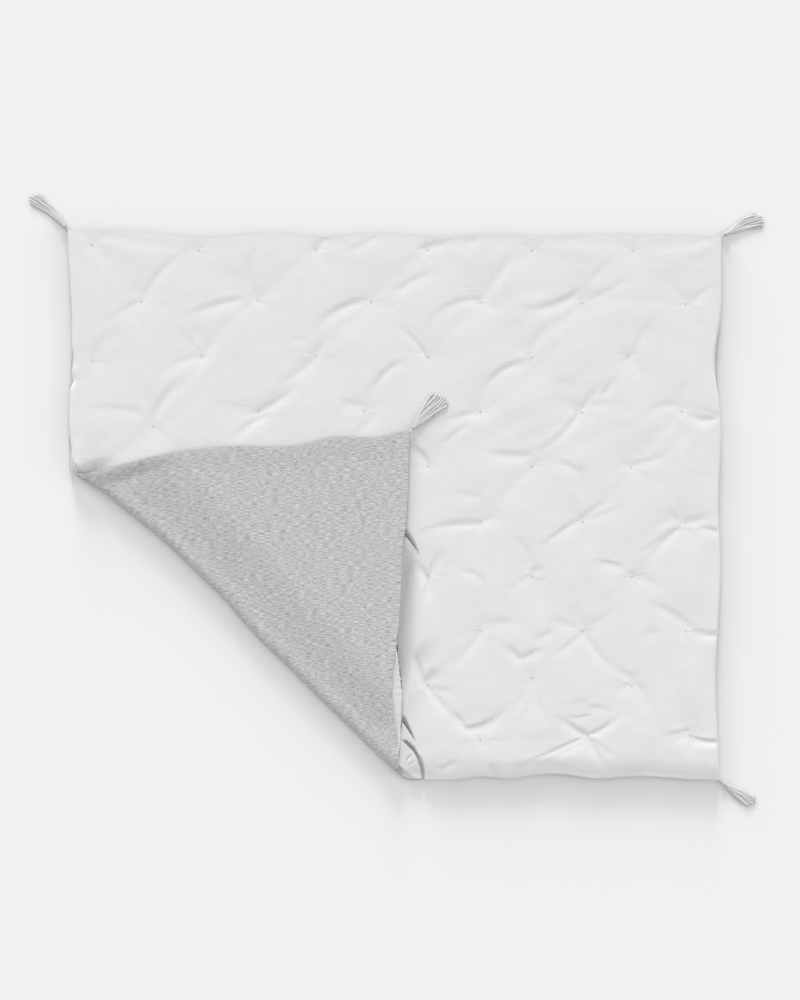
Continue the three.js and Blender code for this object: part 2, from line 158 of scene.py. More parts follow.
# The open face: how thick it is at its rim and at a crown, how much thinner it is at a tuft, and the
# small pit there. It rises from each edge over a reach, and falls a little towards the bottom one.
RIM_THICK, OPEN_THICK = 3 * MM, 17 * MM
SWELL, PIT, PIT_REACH = 0.8 * MM, 0.2 * MM, 9 * MM
BOTTOM_FALL, BOTTOM_REACH = 4.5 * MM, 38 * MM
RIM_REACH = {"top": 0.1, "left": 5, "right": 5, "bottom": 1.5}
# Where the seam shows as a flat strip outside the filling, and the face's slight unevenness.
SEAM_STRIPS = table("edge at half by", ("bottom", 1020, 190, 1.4), ("left", 690, 240, 2))
UNEVEN = table("by cell seed", (0.1, 17, 1), (0.25, 50, 2))

# The simulation: its grid, how much slack the cloth has across and along the way that most of its
# creases run, how far from a tuft it is held, and how much of its movement is kept.
SIM_STEP, SIM_FRAMES, SIM_MOVE = 8 * MM, 25, 12
SLACK_ACROSS, SLACK_ALONG, SLACK_WANDER, SLACK_CELL = 0.008, 0.002, 3 * MM, 140 * MM
SIM_PRESSURE, SIM_BENDING, SIM_HELD = 2, 2, 6 * MM
SIM_KEEP, SIM_SPREAD = 0.09, 3
SIM_CAP = {"sideways": 3 * MM, "height": 5 * MM}

# How much of the depth of the main creases and of the small ones is kept, and how many small ones
# each tuft has. Then how much of a crease's width lies up the frame from it and how much down, the
# parts of its length over which it deepens and fades, and its relative width at its two ends.
CREASE_KEEP, SMALL_KEEP, SMALL_COUNT = 0.28, 0.16, 7
SIDES = np.array([0.42, 1.3])
CREASE_START, CREASE_FADE, CREASE_TAPER = (-0.15, 0.1), (0.35, 1.1), (0.85, 1.25)

# Where the face stops short of the edge, so that the jersey shows past it, or, where by is
# negative, shows past the jersey as a white strip.
PEEKS = table(
    "edge at half by",
    ("left", 762, 34, 3.4),
    ("left", 727, 18, 4.5),
    ("left", 596, 46, 3.6),
    ("left", 552, 40, 6),
    ("right", 776, 85, 4.5),
    ("bottom", 450, 115, -19),
    ("bottom", 592, 50, 3),
)
PEEK_REACH = 35 * MM

# The fold is flatter than round. The face is pressed thin inside it and under the turned corner.
ROLL_OPEN, ROLL_PRESSED = 9 * MM, 7 * MM
PRESSED_FOLD, PRESSED_UNDER, PRESSED_REACH = 5.5 * MM, 9.5 * MM, 110 * MM
FLAP_HEM, HEM_BED = (5 * MM, 45 * MM), 10 * MM

# Where the face is wholly free: how far the cloth stops short of the fold, and how far it lies
# outside the turned corner. The second of each pair is where it is wholly pressed.
FREE_OF_FOLD, FREE_OF_FLAP = (12 * MM, 30 * MM), (5 * MM, 30 * MM)

# How high the turned corner waves, over what cells, and how far past the fold that sets in. Then the
# folds in it, in plan millimetres like CREASES.
FLAP_WAVE, WAVE_CELL, WAVE_FROM = 0.15 * MM, 90 * MM, (30 * MM, 90 * MM)
FLAP_CREASES = table(
    "from to bow depth width",
    ((-565, 26), (-400, 72), 4, 3.2, 11),
    ((-480, -20), (-430, 6), 0, 0.6, 14),
    ((-398, -92), (-350, -62), 3, 0.6, 16),
    ((-150, -352), (-104, -322), -3, 0.8, 14),
    ((-60, -428), (-22, -388), 0, 0.8, 12),
)

# Where the lying face falls away beside the turned corner, in rows like those of CREASES. Sides are
# the half widths up and down the frame. Some rows also have ends, how far the hollow reaches past
# each end, taper, the relative widths of its two ends, square, how flat its bottom is, and lap, how
# far the lower bank is drawn over it.
HOLLOWS = [
    {"from": (2, -60), "to": (36, -104), "bow": 2, "depth": 13, "sides": (6, 1),
     "lap": 3, "taper": (1.2, 0.3)},
    {"from": (6, -150), "to": (-6, -300), "bow": 0, "depth": 13, "sides": (18, 23),
     "ends": (80, 110)},
    {"from": (28, -300), "to": (22, -520), "bow": 0, "depth": 5, "sides": (30, 36),
     "ends": (55, 30)},
    {"from": (0, -401), "to": (34, -455), "bow": 0, "depth": 16, "sides": (8, 1),
     "lap": 3, "taper": (1.1, 0.2)},
    {"from": (6, -444), "to": (34, -506), "bow": 7, "depth": 17, "sides": (8.5, 1),
     "lap": 3, "square": 3},
    {"from": (38, -518), "to": (16, -456), "bow": -7, "depth": 17, "sides": (8.5, 1),
     "lap": 3, "square": 3},
    {"from": (18, -468), "to": (6, -488), "bow": 0, "depth": 6.5, "sides": (3, 2)},
    {"from": (24, -480), "to": (8, -494), "bow": 0, "depth": 6, "sides": (3, 2)},
    {"from": (-600, 46), "to": (-520, 70), "bow": 0, "depth": 6, "sides": (9, 40)},
]
# Where the bank of a lap rises and where it starts to fall again, in half widths of its hollow, and
# the share of the hollow's depth at which it is whole.
LAP_RISE, LAP_FALL, LAP_WHOLE = (0.5, 2), 3, 0.15

# The main creases of the face, in plan millimetres. Each runs from its deep end to its faint one and
# bows to its left by bow.
CREASES = table(
    "from to bow depth width",
    # Round the tufts by the left edge and above the turned corner.
    ((-475, 368), (-552, 322), 0, 3, 8),
    ((-475, 368), (-390, 460), 9, 4, 8),
    ((-478, 372), (-482, 438), 0, 2.5, 6),
    ((-484, 346), (-460, 298), 0, 2, 6),
    ((-561, 245), (-528, 307), 14, 3, 9),
    ((-296, 368), (-396, 335), -5, 5, 9),
    ((-373, 294), (-377, 327), 0, 3, 6),
    ((-368, 272), (-414, 331), 4, 2, 6),
    ((-265, 366), (-252, 478), 22, 4, 8),
    ((-359, 263), (-451, 221), -11, 3, 9),
    ((-449, 160), (-401, 224), 6, 5, 8),
    ((-462, 147), (-473, 230), 3, 3, 6),
    ((-478, 162), (-589, 162), -7, 3, 12),
    ((-449, 134), (-405, 97), 0, 1.5, 8),
    ((-265, 162), (-368, 168), -9, 2, 14),
    ((-265, 160), (-180, 217), -3, 5, 8),
    ((-243, 155), (-313, 99), -9, 4, 7),
    ((-162, 258), (-221, 212), 4, 3, 9),
    ((-158, 263), (-138, 322), -5, 2.5, 6),
    ((-175, 293), (-202, 298), 0, 2.5, 6),
    ((-74, 366), (-162, 304), -11, 6, 10),
    ((-99, 368), (-99, 420), 0, 1.6, 6),
    ((-138, 372), (-136, 405), 0, 1.4, 6),
    ((-84, 372), (-82, 428), 0, 1.4, 6),
    ((-50, 370), (-44, 432), 0, 1.2, 7),
    ((-138, 482), (-160, 452), 0, 4, 8),
    ((-46, 482), (-110, 451), 0, 2.5, 7),
    ((-4, 252), (-64, 162), -14, 5, 9),
    ((-70, 175), (-114, 180), 0, 3, 10),
    ((-46, 160), (-92, 110), 0, 3, 8),
    # Across the top, from the middle to the right.
    ((-4, 386), (83, 427), 4, 3.5, 9),
    ((48, 265), (-18, 327), -7, 3, 7),
    ((143, 368), (46, 313), -17, 4, 9),
    ((154, 368), (199, 456), -3, 3, 7),
    ((150, 370), (180, 432), -2, 2, 6),
    ((40, 464), (101, 478), 0, 4, 8),
    ((322, 381), (206, 353), 12, 5, 9),
    ((350, 405), (396, 451), 0, 2.5, 8),
    ((350, 372), (442, 423), -4, 2.5, 7),
    ((241, 270), (294, 340), 10, 2.5, 11),
    ((215, 252), (147, 184), -13, 6, 9),
    ((143, 160), (74, 138), -6, 3.5, 8),
    ((120, 138), (61, 92), 0, 4, 7),
    ((534, 368), (581, 399), 0, 3, 8),
    # Under them, to the right of the turned corner's point.
    ((329, 166), (368, 216), 0, 4, 7),
    ((372, 194), (396, 228), 0, 4, 6),
    ((419, 266), (396, 222), 0, 3, 7),
    ((327, 164), (228, 83), 14, 4.5, 7),
    ((236, 84), (147, 88), 2, 5, 10),
    ((327, 175), (276, 189), 0, 2.5, 10),
    ((322, 212), (276, 221), 0, 1.5, 12),
    ((335, 172), (408, 176), 4, 2, 9),
    ((402, 178), (422, 145), 8, 2, 8),
    ((515, 175), (442, 147), -12, 3, 9),
    ((427, 262), (482, 344), 10, 3.5, 7),
    ((450, 285), (478, 332), 3, 2.5, 6),
    ((429, 258), (447, 193), 3, 3, 7),
    ((583, 154), (526, 164), 10, 6, 8),
    ((583, 162), (548, 172), 4, 3, 6),
    ((510, 140), (507, 90), 5, 4, 9),
    ((425, 66), (506, 94), -4, 3, 7),
    ((515, 175), (528, 226), 4, 2, 8),
    ((331, 50), (276, 72), -5, 4, 8),
    ((328, 56), (336, -5), -3, 5, 8),
    # Beside the turned corner and across the middle of the right-hand side.
    ((22, 97), (55, 46), 10, 6, 9),
    ((147, 7), (88, 15), 0, 2.5, 9),
    ((147, 18), (178, 46), 0, 1.5, 10),
    ((147, -42), (28, -64), -8, 4.5, 8),
    ((147, -40), (193, -18), 0, 2.5, 9),
    ((326, -37), (252, -92), -3, 4.5, 7),
    ((328, -36), (386, 2), 2, 4, 7),
    ((346, -34), (414, -9), 0, 3, 7),
    ((236, -122), (212, -64), -9, 5, 7),
    ((236, -125), (267, -120), -4, 3.5, 7),
    ((52, -148), (74, -86), 2, 5, 8),
    ((52, -145), (24, -110), -3, 5, 9),
    ((52, -143), (48, -190), 0, 6, 9),
    ((120, -129), (160, -184), 15, 3.5, 7),
    ((239, -138), (184, -166), 3, 2, 9),
    ((248, -147), (254, -221), 0, 3, 18),
    ((408, -122), (350, -114), -3, 4, 9),
    ((517, -38), (582, -17), -6, 4, 9),
    ((584, -56), (540, -48), 0, 4, 8),
    ((517, -44), (552, -76), 0, 2, 7),
    ((512, -40), (456, -48), -3, 2, 6),
    ((508, -52), (452, -114), -4, 5, 8),
    ((496, -54), (436, -98), 3, 3, 6),
    ((515, -38), (515, 4), 0, 3, 6),
    ((510, -36), (484, -14), 0, 4, 9),
    ((424, -136), (488, -166), 5, 3, 9),
    ((427, -140), (427, -221), 0, 2, 13),
    # Lower right.
    ((530, -228), (446, -186), -6, 5, 9),
    ((582, -246), (528, -232), 4, 6, 8),
    ((469, -239), (438, -260), -4, 2.5, 9),
    ((147, -237), (83, -322), 5, 3, 7),
    ((153, -225), (239, -225), 0, 2.5, 13),
    ((340, -240), (405, -315), -8, 4.5, 7),
    ((403, -313), (444, -322), -4, 3.5, 7),
    ((338, -236), (322, -184), 0, 2.5, 7),
    ((336, -238), (258, -294), 7, 3, 7),
    ((322, -230), (267, -217), 0, 3, 10),
    ((342, -232), (402, -190), -4, 2.5, 12),
    ((222, -291), (188, -260), 0, 6, 9),
    ((222, -291), (270, -272), 3, 4.5, 7),
    ((276, -239), (239, -258), 3, 4, 9),
    ((238, -332), (197, -405), 0, 3, 7),
    ((243, -332), (282, -420), -5, 3.5, 8),
    ((240, -345), (217, -420), 5, 2.5, 7),
    ((432, -333), (386, -353), 0, 2.5, 8),
    ((434, -333), (469, -405), 5, 3, 8),
    ((44, -338), (18, -265), -3, 6, 9),
    ((46, -335), (64, -308), 0, 8, 11),
    ((50, -328), (104, -350), -9, 5, 8),
    ((50, -338), (100, -402), 0, 7, 8),
    ((120, -419), (84, -385), -6, 6, 8),
    ((118, -419), (198, -381), -8, 6, 10),
    ((342, -431), (284, -394), 0, 6, 9),
    ((344, -430), (408, -385), -6, 4, 7),
    ((342, -432), (218, -489), 0, 4.5, 7),
    ((338, -442), (246, -490), 0, 3, 7),
    ((348, -436), (380, -500), 0, 5, 8),
    ((350, -436), (396, -474), 0, 3, 8),
    ((346, -366), (306, -372), 3, 2, 7),
    ((346, -380), (396, -388), 3, 2.5, 7),
    ((346, -394), (300, -398), 3, 2.5, 7),
    ((530, -421), (474, -433), 3, 3.5, 11),
    ((584, -442), (526, -432), 3, 7, 7),
    ((174, -515), (165, -484), 0, 8, 8),
    ((74, -494), (112, -474), 0, 3.5, 7),
)


# ---------------------------------------------------------------- small helpers
def smooth(x, start, end):
    """0 up to start, 1 from end on, and an eased rise between them."""
    t = np.clip((x - start) / (end - start), 0, 1)
    return t * t * (3 - 2 * t)


def bump(x, middle, half):
    return 1 - smooth(abs(x - middle), 0, half)


def lerp(a, b, share):
    return a + (b - a) * share


def from_table(rows, key, place, column):
    """The eased value of a column of a millimetre table, in metres, at places along its key."""
    keys = np.array([row[key] for row in rows]) * MM
    values = np.array([row[column] for row in rows]) * MM
    place = np.clip(place, keys[0], keys[-1])
    after = np.clip(np.searchsorted(keys, place), 1, len(keys) - 1)
    share = smooth(place, keys[after - 1], keys[after])
    return lerp(values[after - 1], values[after], share)


def wander(u, v, cell, seed):
    """A smooth random field over the cloth, about -1 to 1, that turns over every cell or so."""
    count = (int(WIDTH / cell) + 4, int(LENGTH / cell) + 4)
    values = np.random.default_rng(seed).uniform(-1, 1, count)
    i, j = u / cell + 1, v / cell + 1
    i0 = np.clip(np.floor(i).astype(int), 0, count[0] - 2)
    j0 = np.clip(np.floor(j).astype(int), 0, count[1] - 2)
    s, t = smooth(i - i0, 0, 1), smooth(j - j0, 0, 1)
    low = lerp(values[i0, j0], values[i0 + 1, j0], s)
    high = lerp(values[i0, j0 + 1], values[i0 + 1, j0 + 1], s)
    return lerp(low, high, t)


def grid(size, step):
    """Places from 0 to size, as near a step apart as divides it."""
    return np.linspace(0, size, int(round(size / step)) + 1)


def face_grid(size, fine):
    """The face's places from 0 to size, closer together in each of fine's ranges and near both ends."""
    places = grid(size, FACE_STEP)
    for start, end in fine:
        outside = places[(places < start * MM) | (places > end * MM)]
        places = np.concatenate([outside, np.arange(start * MM, end * MM, FINE_STEP)])
    return np.sort(np.concatenate([places, NEAR_RIM, size - NEAR_RIM]))


FACE_US, FACE_VS = face_grid(WIDTH, FINE_U), face_grid(LENGTH, FINE_V)


def spread_grid(us, vs):
    """The u and the v of every point of a grid, v running fastest."""
    return [a.ravel() for a in np.meshgrid(us, vs, indexing="ij")]


# ---------------------------------------------------------------- the cloth as it lies
def from_edges(u, v):
    return np.minimum(np.minimum(u, WIDTH - u), np.minimum(v, LENGTH - v))


def edge_place(edge, u, v):
    """How far (u, v) is inside an edge of the cloth, and how far along it."""
    inside = {"top": LENGTH - v, "bottom": v, "left": u, "right": WIDTH - u}
    return inside[edge], u if edge in ("top", "bottom") else v


def edge_share(row, along):
    """A row's part of its edge, in metres."""
    return row["by"] * MM * bump(along, row["at"] * MM, row["half"] * MM)


def edge_shares(rows, u, v, reach):
    """Each row's part of its edge at (u, v), in metres, with the way into the cloth from there."""
    inward = {"top": (0, -1), "bottom": (0, 1), "left": (1, 0), "right": (-1, 0)}
    for row in rows:
        inside, along = edge_place(row["edge"], u, v)
        yield edge_share(row, along) * (1 - smooth(inside, 0, reach)), inward[row["edge"]]


def laid(u, v):
    """The plan point of (u, v) with no corner turned."""
    s, t = u / WIDTH, v / LENGTH
    x, y = [
        MM * lerp(lerp(BOTTOM_LEFT[k], BOTTOM_RIGHT[k], s), lerp(TOP_LEFT[k], TOP_RIGHT[k], s), t)
        for k in (0, 1)
    ]
    span = (DRIFT["to"] - DRIFT["from"]) * MM
    x = x + DRIFT["by"] * MM * np.sin(np.pi * np.clip((u - DRIFT["from"] * MM) / span, 0, 1)) ** 2
    for share, way in edge_shares(EDGE_DIPS, u, v, DIP_REACH):
        x, y = x + way[0] * share, y + way[1] * share
    inside = smooth(from_edges(u, v), 0, PUSH_FADE)
    for push in PUSHES:
        away = np.hypot(u - push["u"] * MM, v - push["v"] * MM)
        share = (1 - smooth(away, 0, push["reach"] * MM)) * inside * MM
        x, y = x + push["x"] * share, y + push["y"] * share
    return x, y


def fold_place(x, y):
    """Where plan points are against the fold, and how far past its start the cloth has gone."""
    at = x * ALONG[0] + y * ALONG[1]
    radius = from_table(FOLD_EDGE, "along", at, "radius")
    start = FOLD_LINE + from_table(FOLD_EDGE, "along", at, "out") - radius
    past = (x * OUTWARD[0] + y * OUTWARD[1] - start) * FOLD_STRETCH
    return at, radius, start, past


# ---------------------------------------------------------------- how thick the filled face is
def pressed(away):
    """The thickness of the pressed face, away from the fold by so much on either side of it."""
    return lerp(PRESSED_FOLD, PRESSED_UNDER, smooth(away, 0, PRESSED_REACH))


def hidden_thickness(u, v, away):
    return lerp(RIM_THICK, pressed(away), smooth(from_edges(u, v), *FLAP_HEM))


# ---------------------------------------------------------------- creases
def creases_near(x, y, rows):
    """Each row, with the points near its crease: how far up from it they are, its half width towards
    them, its share of its depth beside them, and the way up from it."""
    for row in rows:
        start, end = np.array(row["from"]) * MM, np.array(row["to"]) * MM
        run = end - start
        length = np.hypot(*run)
        run = run / length
        s = ((x - start[0]) * run[0] + (y - start[1]) * run[1]) / length
        sideways = (y - start[1]) * run[0] - (x - start[0]) * run[1]
        sides = np.array(row["sides"] if "sides" in row else row["width"] * SIDES) * MM
        reach = (abs(row["bow"]) + 4 * row.get("lap", 0)) * MM + 3 * sides.max()
        before, after = (past * MM / length for past in row.get("ends", (0, 0)))
        near = (s > CREASE_START[0] - before) & (s < CREASE_FADE[1] + after) & (abs(sideways) < reach)
        s, sideways = s[near], sideways[near]
        # Up is up the frame, or to the left of a crease that runs nearly straight up and down it.
        turned = 1 if run[0] + 0.3 * run[1] > 0 else -1
        upwards = (sideways - 4 * row["bow"] * MM * s * (1 - s)) * turned
        if "ends" in row:
            share = smooth(s, -before, 0) * (1 - smooth(s, 1, 1 + after))
        else:
            share = smooth(s, *CREASE_START) * (1 - smooth(s, *CREASE_FADE))
        half = np.where(upwards > 0, sides[0], sides[1])
        half = half * lerp(*row.get("taper", CREASE_TAPER), np.clip(s, 0, 1))
        yield row, near, upwards, half, share, np.array([-run[1], run[0]]) * turned


def crease_relief(x, y, rows):
    """How far the rows' creases sink plan points. The deepest of them counts."""
    relief = np.zeros_like(x)
    for row, near, upwards, half, share, _ in creases_near(x, y, rows):
        section = np.exp(-(abs(upwards / half) ** (2 * row.get("square", 1))))
        sunk = row["depth"] * MM * share * section
        relief[near] = np.minimum(relief[near], -sunk)
    return relief


def crease_laps(x, y, rows):
    """How far plan points are drawn over the creases above them."""
    drawn = np.zeros((2, len(x)))
    lapping = [row for row in rows if "lap" in row]
    for row, near, upwards, half, share, way in creases_near(x, y, lapping):
        lap = row["lap"] * MM
        risen = smooth(-upwards, LAP_RISE[0] * half, LAP_RISE[1] * half)
        fallen = smooth(-upwards, LAP_FALL * half, LAP_FALL * (half + lap))
        drawn[:, near] += way[:, None] * lap * risen * (1 - fallen) * smooth(share, 0, LAP_WHOLE)
    return drawn


# ---------------------------------------------------------------- the seam surface, folded
def edge_lift(u, v, past):
    """How far the lying cloth's edge is drawn up off the floor."""
    to_side, to_end = np.minimum(u, WIDTH - u), np.minimum(v, LENGTH - v)
    near_edge = 1 - smooth(np.minimum(to_side, to_end), 0, LIFT_REACH)
    off_corner = smooth(np.maximum(to_side, to_end), 0, LIFT_CORNER)
    return SEAM_LIFT * near_edge * off_corner * smooth(-past, 0, LIFT_FOLD)


def seam_point(u, v):
    """Points of the back's inner face, as an array of x, y, z."""
    x, y = laid(u, v)
    at, radius, start, past = fold_place(x, y)
    turn = math.pi * radius
    angle = np.clip(past / radius, 0, math.pi)
    beyond = np.maximum(past - turn, 0)
    given = FOLD_SHEAR * past / FOLD_STRETCH
    out = start + radius * np.sin(angle) - beyond
    fx = OUTWARD[0] * out + ALONG[0] * (at + given)
    fy = OUTWARD[1] * out + ALONG[1] * (at + given)
    inside = smooth(from_edges(u, v), *FLAP_HEM)
    fz = lerp(ROLL_OPEN, ROLL_PRESSED, inside) * (1 - np.cos(angle))

    free = smooth(beyond, 0, FOLD_SETTLE)
    fx = fx - free * from_table(RIGHT_BOW, "at", u, "by") * (1 - smooth(v, 0, BOW_REACH))
    fy = fy + free * from_table(UPPER_BOW, "at", v, "by") * (1 - smooth(u, 0, BOW_REACH))
    hem = lerp(HEM_BED, OPEN_THICK, smooth(beyond, 0, PRESSED_REACH))
    bed = PLY_GAP + lerp(hem, pressed(beyond), inside)
    resting = bed + REST_GAP + hidden_thickness(u, v, beyond) + PLY_GAP
    let_down = np.maximum(resting, lerp(fz, resting, free))
    fz = np.where(beyond > 0, let_down, fz)
    waved = FLAP_WAVE * wander(u, v, WAVE_CELL, 21) + crease_relief(fx, fy, FLAP_CREASES)
    fz = fz + waved * smooth(past, *WAVE_FROM)

    lying = past <= 0
    return np.stack([
        np.where(lying, x, fx),
        np.where(lying, y, fy),
        JERSEY + np.where(lying, edge_lift(u, v, past), fz),
    ], axis=-1)


def layer(u, v, depth):
    """Points depth into the filling from the seam surface, or out through the back if negative."""
    step = 1 * MM
    across = seam_point(u + step, v) - seam_point(u - step, v)
    up = seam_point(u, v + step) - seam_point(u, v - step)
    inward = np.cross(across, up)
    inward /= np.linalg.norm(inward, axis=-1, keepdims=True)
    return seam_point(u, v) + inward * np.asarray(depth)[..., None] + SHIFT


def shift_to_model():
    """The model stands over the middle of its own box: how far that carries the cloth's plan."""
    us, vs = spread_grid(grid(WIDTH, 10 * MM), grid(LENGTH, 10 * MM))
    points = layer(us, vs, np.full_like(us, -JERSEY))
    low, high = (np.array(corner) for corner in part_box("back_panel"))
    shift = (low + high - points.min(axis=0) - points.max(axis=0)) / 2
    return shift * (1, 1, 0)


SHIFT = np.zeros(3)
SHIFT = shift_to_model()


# ---------------------------------------------------------------- tufts
def tuft_list():
    return [
        (FIRST_COLUMN + i * TUFT_ACROSS, FIRST_ROW - j * TUFT_DOWN)
        for i in range(TUFT_COLUMNS)
        for j in range(TUFT_ROWS)
        if (i + j) % 2 == 0
    ]


def from_tufts(u, v):
    """How far each point is from the nearest tuft."""
    return np.min([np.hypot(u - a, v - b) for a, b in tuft_list()], axis=0)


def small_creases(seed=5):
    """Short creases that run out of every tuft all round, longer and shorter ones by turns, in rows
    like those of CREASES."""
    rng = np.random.default_rng(seed)
    rows = []
    for u, v in tuft_list():
        x, y = laid(u, v)
        turn = rng.uniform(0, 360)
        for k in range(SMALL_COUNT):
            way = math.radians(turn + 360 / SMALL_COUNT * k + rng.uniform(-22, 22))
            reach = rng.uniform(18, 34) if k % 2 else rng.uniform(30, 68)
            rows.append({
                "from": (x / MM, y / MM),
                "to": (x / MM + reach * math.cos(way), y / MM + reach * math.sin(way)),
                "bow": rng.uniform(-0.1, 0.1) * reach,
                "depth": rng.uniform(0.8, 2.2),
                "width": rng.uniform(6, 8),
            })
    return rows


# ---------------------------------------------------------------- the face, simulated
def rise(u, v):
    """0 on an edge of the open face, rising to 1 where it has its whole height."""
    share = 1.0
    for edge, reach in RIM_REACH.items():
        inside, along = edge_place(edge, u, v)
        strip = sum(edge_share(row, along) for row in SEAM_STRIPS if row["edge"] == edge)
        t = np.clip((inside - strip) / (reach * MM), 0, 1)
        share = share * np.sqrt(1 - (1 - t) ** 2)
    return share


def dome(u, v):
    """The thickness of the open face before it creases: a low swell, and a pit at each tuft."""
    across = np.cos(np.pi * (u - FIRST_COLUMN) / TUFT_ACROSS)
    down = np.cos(np.pi * (v - FIRST_ROW) / TUFT_DOWN)
    sunk = SWELL * (1 + across * down) / 2 + PIT * np.exp(-from_tufts(u, v) / PIT_REACH)
    return OPEN_THICK - sunk - BOTTOM_FALL * np.clip(1 - v / BOTTOM_REACH, 0, 1) ** 2


def flap_edge(edge):
    """The turned corner's top or right edge, as plan points from the fold to the corner."""
    along, zero = np.linspace(500 * MM, 0, 60), np.zeros(60)
    return seam_point(zero, along) if edge == "top" else seam_point(along, zero)


TOP_EDGE, RIGHT_EDGE = flap_edge("top"), flap_edge("right")


def under_flap(x, y):
    """How far inside the turned corner's outline plan points are, or outside it if negative."""
    below = np.interp(x, TOP_EDGE[:, 0], TOP_EDGE[:, 1]) - y
    left = np.interp(y, RIGHT_EDGE[:, 1], RIGHT_EDGE[:, 0]) - x
    return np.minimum(below, left)


def freedom(x, y, past):
    """1 for the lying cloth in view, and 0 for what the fold or the turned corner presses."""
    return (1 - smooth(past, *FREE_OF_FOLD)) * (1 - smooth(under_flap(x, y), *FREE_OF_FLAP))


def settled_face(us, vs):
    """How far Blender's cloth simulation carries each point of the open face, in u, v and height.

    The cloth is cut a little larger than the place where it lies. It starts at its cut size and is
    brought in over the first frames, held at its rim and its tufts, while the filling presses up.
    """
    u, v = spread_grid(us, vs)
    height = RIM_THICK + (dome(u, v) - RIM_THICK) * rise(u, v)
    height = height + CREASE_KEEP * crease_relief(*laid(u, v), CREASES)
    along, across = (u + v) / math.sqrt(2), (u - v) / math.sqrt(2)
    across = across * (1 + SLACK_ACROSS) + SLACK_WANDER * wander(u, v, SLACK_CELL, 11)
    along = along * (1 + SLACK_ALONG) + SLACK_WANDER * wander(u, v, SLACK_CELL, 12)
    cut = np.stack([(along + across) / math.sqrt(2), (along - across) / math.sqrt(2), height], axis=-1)
    lying = np.stack([u, v, height], axis=-1)

    piece = add_mesh("settling", cut, grid_faces(len(us), len(vs)))
    piece.shape_key_add(name="cut")
    key = piece.shape_key_add(name="lying")
    key.data.foreach_set("co", lying.ravel())
    for value, at in ((0, 1), (1, SIM_MOVE)):
        key.value = value
        key.keyframe_insert("value", frame=at)
    held = np.flatnonzero((from_edges(u, v) < SIM_STEP / 2) | (from_tufts(u, v) < SIM_HELD))
    piece.vertex_groups.new(name="held").add(held.tolist(), 1, "REPLACE")

    cloth = piece.modifiers.new("cloth", "CLOTH")
    settings = cloth.settings
    settings.vertex_group_mass = "held"
    settings.effector_weights.gravity = 0
    settings.use_pressure = True
    settings.uniform_pressure_force = SIM_PRESSURE
    settings.bending_stiffness = SIM_BENDING
    cloth.point_cache.frame_start, cloth.point_cache.frame_end = 1, SIM_FRAMES
    for at in range(1, SIM_FRAMES + 1):
        bpy.context.scene.frame_set(at)
    result = np.empty(3 * len(u))
    evaluated = piece.evaluated_get(bpy.context.evaluated_depsgraph_get())
    evaluated.data.vertices.foreach_get("co", result)
    bpy.context.scene.frame_set(1)
    mesh = piece.data
    bpy.data.objects.remove(piece)
    bpy.data.meshes.remove(mesh)

    moved = (result.reshape(-1, 3) - lying).reshape(len(us), len(vs), 3)
    cap = np.array([SIM_CAP["sideways"], SIM_CAP["sideways"], SIM_CAP["height"]])
    return np.clip(SIM_KEEP * (moved - blurred(moved, SIM_SPREAD)), -cap, cap)


def blurred(values, spread):
    """A grid's values evened out over a spread of so many cells."""
    reach = np.arange(-3 * spread, 3 * spread + 1)
    weights = np.exp(-(reach**2) / (2 * spread**2))
    for axis in (0, 1):
        padding = [(0, 0)] * 3
        padding[axis] = (3 * spread, 3 * spread)
        padded = np.pad(values, padding, mode="edge")
        count = values.shape[axis]
        shifted = [np.take(padded, range(k, k + count), axis=axis) for k in range(len(reach))]
        values = np.tensordot(weights / weights.sum(), np.array(shifted), axes=1)
    return values


def finer(values, us, vs):
    """The values of a grid carried to the points of a finer one, along smooth cubics."""
    def weights(count, places):
        at = places / places[-1] * (count - 1)
        k = np.clip(np.floor(at).astype(int), 0, count - 2)
        t = at - k
        parts = (
            (-t + 2 * t**2 - t**3) / 2,
            (2 - 5 * t**2 + 3 * t**3) / 2,
            (t + 4 * t**2 - 3 * t**3) / 2,
            (-(t**2) + t**3) / 2,
        )
        matrix = np.zeros((len(at), count))
        for offset, part in zip((-1, 0, 1, 2), parts):
            np.add.at(matrix, (np.arange(len(at)), np.clip(k + offset, 0, count - 1)), part)
        return matrix
    rows, columns = weights(values.shape[0], us), weights(values.shape[1], vs)
    return np.einsum("ia,abk,jb->ijk", rows, values, columns, optimize=True).reshape(-1, values.shape[2])


